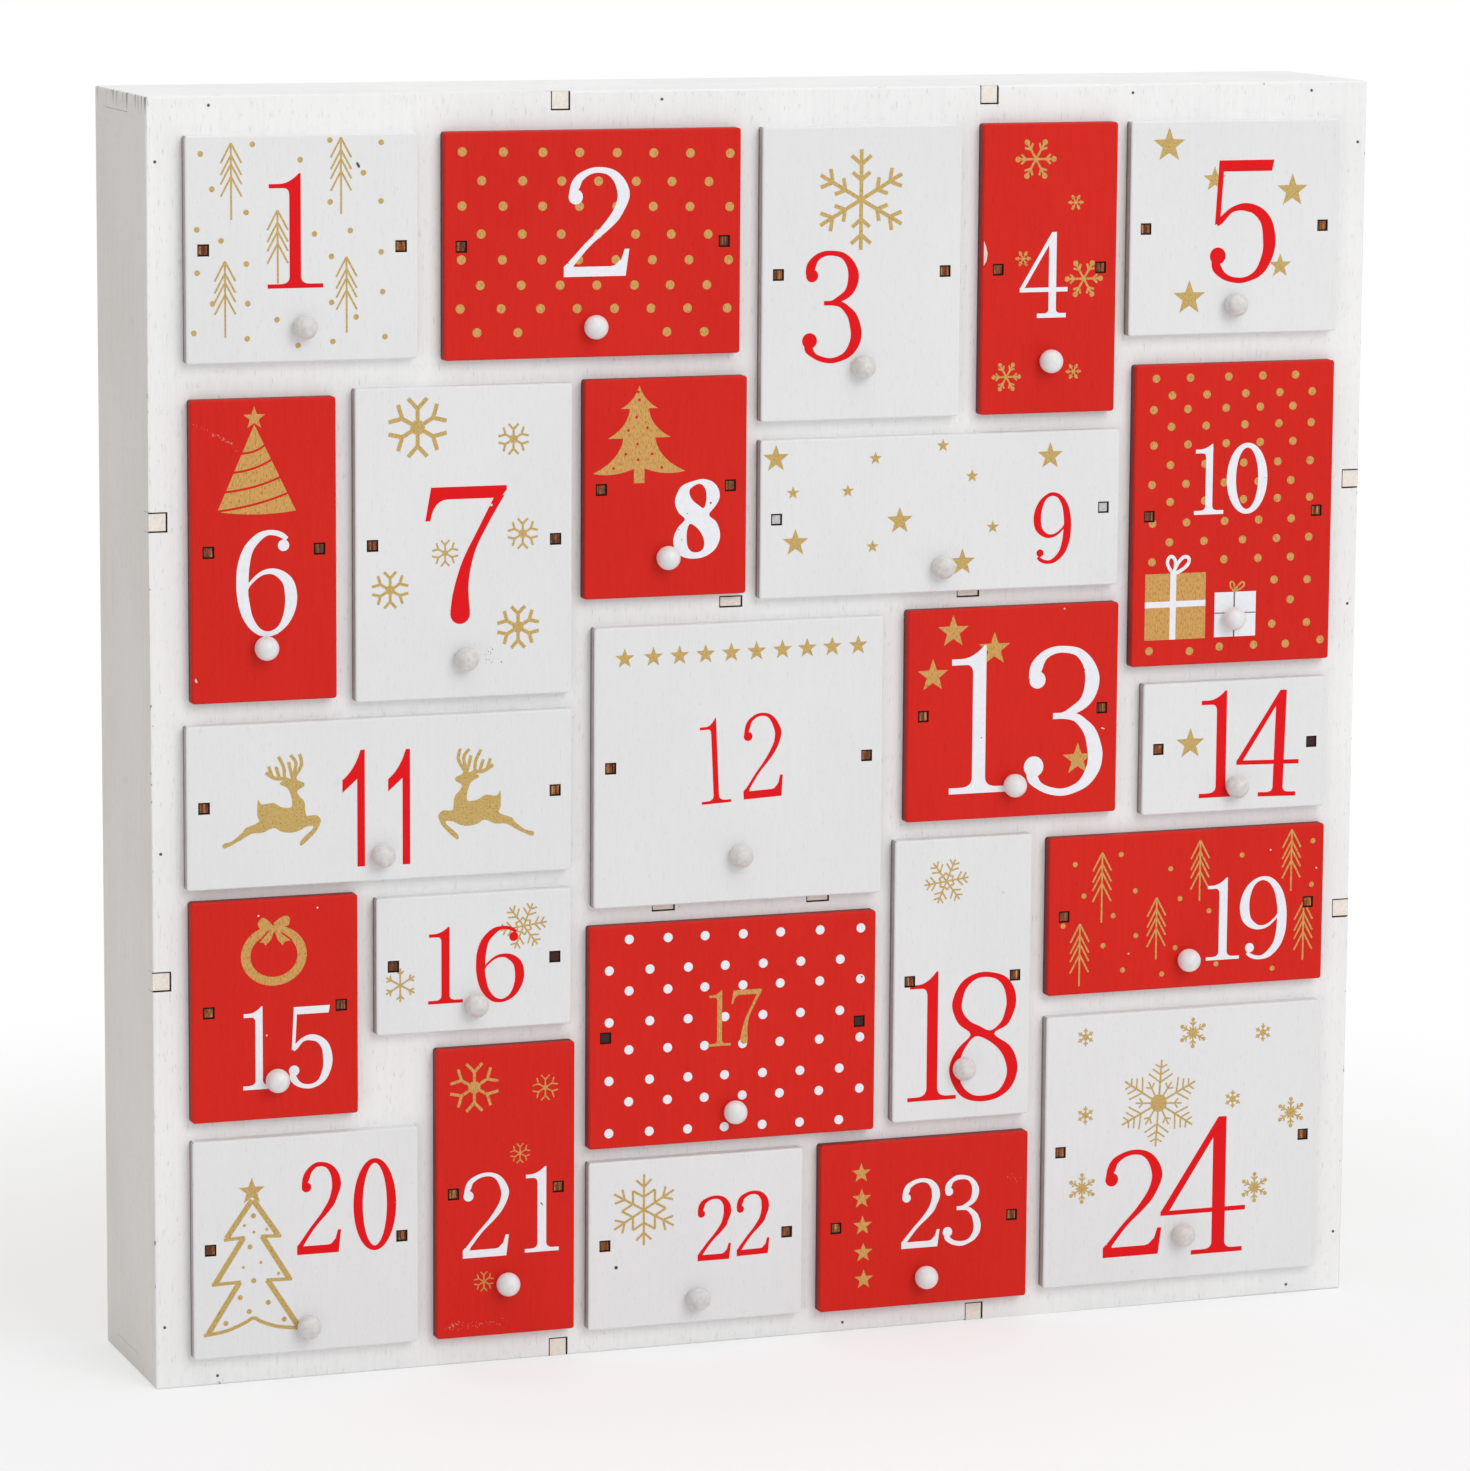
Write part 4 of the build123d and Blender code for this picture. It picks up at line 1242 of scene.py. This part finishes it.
bowLoops = [
    ring(4, (-0.9, 22.3), (-3.3, 24.9), (-4.6, 24.5), (-5.2, 23.4), (-4.9, 22.5), (-3.5, 21.3)),
    ring(4, (-0.8, 23.1), (1, 24.7), (2.4, 25.2), (3.4, 24.8), (3.6, 23.8), (2.8, 22.4)),
]
tailGaps = []
for tail in bowTails:
    tailGaps += pathway(0.9, *tail)
makePrint(
    15,
    ("warmGold", ribbon(wreath)),
    ("bare", tailGaps),
    ("warmGold", bowTails + bowLoops),
    ("dust", dots(0.5, (-5, 25.6), (11.3, 26.9), (-2.9, -7))),
    ("white", digits((one, -9.5, -0.6, -21.6, 1, 2, 1.05), (five, 3.1, 15.1, -22.3, 0.2, 2.6, 1.3))),
    shift=(0.5, 0))

smallGem = gemFlake(6.6, 0.45, (4.9, 1.5, 6.05), [(3.2, 1.95, 4.65)], (1.65, 2.45))
makePrint(
    16,
    ("gold", place(smallGem, (13.9, 9, -23))),
    ("gold", place(line((0, -4.6), (0, 4.6), 0.5), (-20.9, -5.2), (-20.9, -5.2, 60), (-20.9, -5.2, 120))),
    ("gold", place(sixfold(twigs(0.45, (2.9, 1.0, 3.9))), (-20.9, -5.2))),
    ("red", digits((one, -13.1, -3.3, -11, 10, 2.3, 0.9), (six, 0.3, 14.1, -11.6, 9.3, 2.6, 0.95))))

makePrint(
    17,
    ("white", spottedRows(
        2.6, (-30.3, -19.1, -8.4, 2.7, 13.6, 25.2, 37.2), (-36, -24.3, -13.2, -2.5, 8.6, 19.6, 31.2),
        (26.7, 18.2, 12.4, 3.8, -4, -12.5, -18.5, -27.1), -0.012)),
    ("warmGold", digits((one, -7.3, -0.8, -4.3, 11.3, 1.4, 0.65), (seven, -0.6, 8.2, -4.3, 11))),
    ("soot", dots(0.5, (37.6, 12.5))))

slimEight = ring(
    4,
    (6.7, 1.1), (1.9, -0.15), (-1, -2.85), (-2.7, -7.1), (-2.15, -10.5), (-0.4, -13.6), (2.9, -16.5),
    (-0.4, -19.8), (-2.5, -22.85), (-3.4, -25.9), (-2.7, -29.4), (-0.4, -33.2), (2.7, -35.15),
    (7.3, -35.8), (11.9, -34.8), (15.4, -32.1), (17.1, -27.85), (16.7, -24), (14.6, -20.2), (10, -16.7),
    (13.85, -14.4), (15.8, -10.9), (16.5, -7.5), (15.6, -3.6), (12.7, -0.3))
slimHollows = [
    ring(
        4,
        (6.9, -0.4), (3.85, -1.1), (1.3, -3.6), (0.2, -7.5), (0.6, -10.15), (2.7, -12.7), (5.4, -14.15),
        (8.85, -15.7), (11.9, -13.6), (13.2, -10.5), (13.6, -7.5), (12.7, -3.6), (10.4, -1.15)),
    ring(
        4,
        (4.2, -17.2), (1.15, -20.5), (-0.2, -24), (-0.4, -27.5), (0.6, -30.9), (3.5, -33.6),
        (7.3, -34.15), (11.2, -33.2), (13.3, -30.5), (14, -27.5), (13.2, -24), (11.2, -20.9),
        (7.7, -18.2)),
]
makePrint(
    18,
    ("gold", place(smallGem, (-4.85, 27.35, -23))),
    ("dust", dots(0.4, (-3.3, 5.5)) + dots(0.9, (12.2, 23.3))),
    ("red", [slimEight]),
    ("bare", slimHollows),
    ("red", digits((one, -15.8, -1.3, -34.5, 2.1, 3.2, 1.1))),
    shift=(-0.3, 0.4))

makePrint(
    19,
    ("warmGold", firs(
        (-26.1, 17.6, -2.3), (3.8, 19.5, 2.2), (32, 21.1, 3.5), (-9.3, 3.8, -13.8), (-32.6, -2.3, -20),
        (36.1, 0.2, -16.7))),
    ("warmGold", dots(
        1.5, (-34.3, 14.7), (-20.4, 16.8), (-5.2, 11.9), (16.7, 14.6), (38.6, 17.5), (38.4, 5),
        (-31.5, 5.6), (-15.9, 6.2), (-2.2, 3.2), (6.8, -0.8), (-22.5, -0.5), (-37.7, -2.6), (-15.5, -6.6),
        (-25.5, -8.9), (-3.4, -10.8), (-19.4, -16.2), (-7.4, -18.1), (9.3, -16.2), (26.7, -18.5))),
    ("dust", dots(0.5, (25.5, 15.6), (39.8, 9.65), (-17.65, -11.65))),
    ("white", digits((one, 6.1, 16.3, -15.1, 8.4, 2.5, 0.9), (nine, 16.4, 30.9, -15.6, 8.1, 2.9, 1.1))))

# an outlined tree: slanting sides, thin tiers between them and a hollow base line
treeLook = {"side": 1.5, "tier": 0.9, "base": 0.95}
treeSides = (
    ((-15.2, 13), (-22.3, 3)), ((-17.5, 2.9), (-25.5, -9.3)), ((-18.7, -9.3), (-27.5, -22.9)),
    ((-14.8, 13), (-8, 3)), ((-12.4, 2.9), (-5, -9.2)), ((-11, -9.3), (-2.6, -22.5)),
)
treeTiers = (
    ((-23, 2.6), (-17.2, 2.9)), ((-26.4, -9.5), (-18.4, -9.3)), ((-7.1, 2.6), (-12.7, 2.9)),
    ((-4.1, -9.5), (-11.3, -9.3)),
)
tree = []
for start, end in treeSides:
    tree += line(start, end, treeLook["side"])
for start, end in treeTiers:
    tree += line(start, end, treeLook["tier"])
tree += smoothLine(
    treeLook["base"], (-28.7, -23.3), (-22.5, -22.5), (-17.5, -20.7), (-14.9, -19.5), (-12.5, -20.8),
    (-8, -22.4), (-2, -23.3))
makePrint(
    20,
    ("gold", tree),
    ("gold", stars((-15.2, 15.4, 3.8))),
    ("gold", dots(
        1.4, (-14.8, 8.7), (-15.8, 0.2), (-14.8, -9.2), (-18.6, -13.6), (-10.8, -15.5), (-16.1, -17.6),
        (-22.6, -20.4), (-6.4, -20.5))),
    ("gold", dots(
        0.85, (-17.3, 6.2), (-11.1, 4.7), (-14.7, 4.2), (-12.8, -4.3), (-17.7, -5.3), (-7.9, -7.7))),
    ("red", digits((two, -2.7, 9.6, -3.1, 22.1, 2.5, 1.3, 0.04), (zero, 13.1, 25.1, -3.4, 22.1, 2.6, 1.3))))

makePrint(
    21,
    ("warmGold", flakes(
        forkFlake, (-8.6, 29.2, 6.8, 0.8, 1.8), (11.6, 27.8, 3.6, 0.36, 0.7), (4.4, 10, 2.8, 0.29, 0.5),
        (-5.9, -25, 2.8, 0.29, 0.5))),
    ("bare", flecks(24, 90, -15.4, -1.8, 22.4, 36, 0.5)),
    ("scuff", trail(700, 46, (-16.4, -37.2), (0.6, -36.5), 1, 0.3)),
    ("scuff", trail(760, 16, (-16, -37.3), (-13, -35.9), 0.5, 0.42)),
    ("white", digits(
        (two, -11.9, 1.2, -18.2, 5.3, 2.2, 1.1, -0.055), (one, 5.8, 15.5, -17.9, 5.9, 2.5, 1))),
    ("soot", line((10.3, -4.2), (10.9, -4.9), 0.3)),
    shift=(-0.4, 0.1))

makePrint(
    22,
    ("gold", place(gemFlake(10, 0.62, (6.4, 2.2, 8.5), [], (3.65, 6.4)), (-15.7, 9.1))),
    ("moss", dots(1.0, (-23.7, -6.6))),
    ("red", digits((two, 0, 9.75, -6.65, 11.5, 2.2, 1, -0.07))),
    ("red", digits((two, 11.3, 20.95, -6, 12.05, 2.2, 1, -0.05), tilt=1.2)),
    shift=(0.4, 0.3))

makePrint(
    23,
    ("warmGold", stars(
        (-19.1, 14.8, 2.9), (-18.9, 7.5, 2.9), (-18.6, -0.2, 2.9), (-18.3, -7.9, 2.9), (-18.1, -15.6, 2.9))),
    ("scuff", flecks(23, 9, 24.5, 29.3, 7.8, 11.5, 0.35)),
    ("white", digits(
        (two, -6.9, 4.5, -7.8, 11.9, 2.4, 1.2, -0.055), (three, 5.5, 16.9, -8, 11.9, 2.1, 1.1))),
    shift=(0.1, 0.4))

fernArm = line((0, 0), (0, 12.5), 0.55)
fernArm += twigs(0.45, (10.2, 1.8, 11.15), (8.2, 2.6, 9.8), (6, 3.7, 8.5))
fernGap = moved(line((0, 0), (0, 7.1), 0.45) + twigs(0.45, (4.9, 1.4, 5.95)), 0, 0, 30)
fernFlake = sixfold(fernArm + fernGap) + [disc(0, 0, 2.6, 12)]
ballArm = line((0, 0), (0, 3.9), 0.45) + [disc(0, 3.85, 0.6, 10)] + twigs(0.4, (2.2, 0.95, 3.1))
ballArm += moved(line((0, 0), (0, 1.9), 0.5), 0, 0, 30)
ballEnded = sixfold(ballArm) + [disc(0, 0, 1.4, 12)]
simpleFlake = sixfold(line((0, 0), (0, 2.6), 0.42) + twigs(0.36, (1.4, 0.6, 2.0))) + [disc(0, 0, 0.95, 12)]
makePrint(
    24,
    ("gold", moved(fernFlake, -6.9, 12, -3.5)),
    ("gold", place(ballEnded, (3.3, 31.6), (34.2, 6.5), (-30, -11), (23.3, -14.6))),
    ("gold", place(simpleFlake, (-29.6, 32.5), (25, 30.3), (-29.3, 10), (16, 11.6))),
    ("red", digits(
        (two, -23.3, -5.4, -31.7, -1, 3.2, 1.5, -0.045), (four, -5.7, 20.5, -32.8, 6.8, 4, 1.3))),
    shift=(-0.7, 0.2))
print("prints made")


# Floor, light and camera

white = (1, 1, 1, 1)
floorLook = {
    "size": 60.0, "fadeFrom": 0.2, "fadeTo": 0.5, "least": 0.5, "grain": 30, "grainShare": 0.2,
    "pale": (0.92, 0.92, 0.92, 1.0), "dull": (0.9, 0.9, 0.9, 1.0),
}
worldLook = {"strength": 0.54}
lampLooks = {
    "softbox": {"size": 1.6, "energy": 26.0, "place": (0.8, -2.3, 1.7)},
    "overhead": {"size": 2.2, "energy": 17.0, "place": (0, -0.2, 2.6)},
}


# plain rays see white; light that falls on the floor sees pale board
def pureView(finish):
    rays = ("Is Camera Ray", "Is Glossy Ray", "Is Transmission Ray")
    camera, glossy, through = [finish.add("ShaderNodeLightPath", {}, {}, ray) for ray in rays]
    return camera.most(glossy).most(through)


# some rays see the second shader in place of the first
def mixShaders(finish, share, first, second, output):
    both = finish.add("ShaderNodeMixShader", {}, {0: share, 1: first, 2: second})
    finish.feed(finish.tree.nodes[output].inputs["Surface"], both)


def makeFloor():
    finish = Finish("floorPaper")
    grain = finish.noise(*[floorLook["grain"]] * 3, 2)
    colour = finish.mix(grain * floorLook["grainShare"], floorLook["pale"], floorLook["dull"])
    finish.close(Base_Color=colour, Roughness=0.9)
    far = finish.add("ShaderNodeVectorMath", {"operation": "LENGTH"}, {0: finish.place}, "Value")
    share = finish.ease(far, floorLook["fadeFrom"], floorLook["fadeTo"], floorLook["least"])
    seen = finish.add("ShaderNodeEmission", {}, {"Color": white, "Strength": 1.0})
    paper = Value(finish, finish.shader.outputs[0])
    mixShaders(finish, share * pureView(finish), paper, seen, "Material Output")
    bm = bmesh.new()
    bmesh.ops.create_grid(bm, x_segments=1, y_segments=1, size=floorLook["size"] / 2)
    mesh = bpy.data.meshes.new("floor")
    bm.to_mesh(mesh)
    bm.free()
    mesh.materials.append(finish.owner)
    floor = bpy.data.objects.new("floor", mesh)
    scene.collection.objects.link(floor)


def makeWorld():
    studio = Finish("studio", "worlds")
    scene.world = studio.owner
    studio.tree.nodes.remove(studio.tree.nodes["Background"])
    plain = studio.add("ShaderNodeBackground", {}, {"Color": white, "Strength": worldLook["strength"]})
    seen = studio.add("ShaderNodeBackground", {}, {"Color": white, "Strength": 1.0})
    mixShaders(studio, pureView(studio), plain, seen, "World Output")


def makeLamp(name, look):
    lamp = bpy.data.lights.new(name, "AREA")
    lamp.shape = "SQUARE"
    lamp.size = look["size"]
    lamp.energy = look["energy"]
    holder = bpy.data.objects.new(name, lamp)
    holder.location = look["place"]
    aim = Vector((0, 0, caseHigh.z / 2)) - Vector(look["place"])
    holder.rotation_euler = aim.to_track_quat("-Z", "Y").to_euler()
    scene.collection.objects.link(holder)


# the camera as fitted to the case's corners in the photograph: its distance is from the face's middle
cameraLook = {
    "frame": 1471, "focal": 6095, "pitch": 9.16, "yaw": -19.82, "roll": 0.38,
    "offset": (10.4, -3.4, 1667.8), "height": 346.0, "sensor": 36.0, "clip": 200,
}


def makeCamera():
    look = cameraLook
    toScreen = Matrix(((1, 0, 0), (0, 0, -1), (0, 1, 0)))
    turn = Matrix.Rotation(math.radians(look["roll"]), 3, "Z")
    turn = turn @ Matrix.Rotation(math.radians(look["pitch"]), 3, "X")
    turn = turn @ Matrix.Rotation(math.radians(look["yaw"]), 3, "Y") @ toScreen
    lens = bpy.data.cameras.new("camera")
    lens.sensor_width = look["sensor"]
    lens.lens = look["focal"] / look["frame"] * look["sensor"]
    lens.clip_end = look["clip"]
    camera = bpy.data.objects.new("camera", lens)
    place = turn.transposed() @ Vector(look["offset"]) * -mm
    place += Vector((0, faceY, look["height"] / 2 * mm))
    facing = turn.transposed() @ Matrix.Diagonal((1, -1, -1))
    camera.matrix_world = Matrix.Translation(place) @ facing.to_4x4()
    scene.collection.objects.link(camera)
    scene.camera = camera


makeFloor()
makeWorld()
for name, look in lampLooks.items():
    makeLamp(name, look)
makeCamera()
scene.view_settings.view_transform = "Standard"
print("stage made")
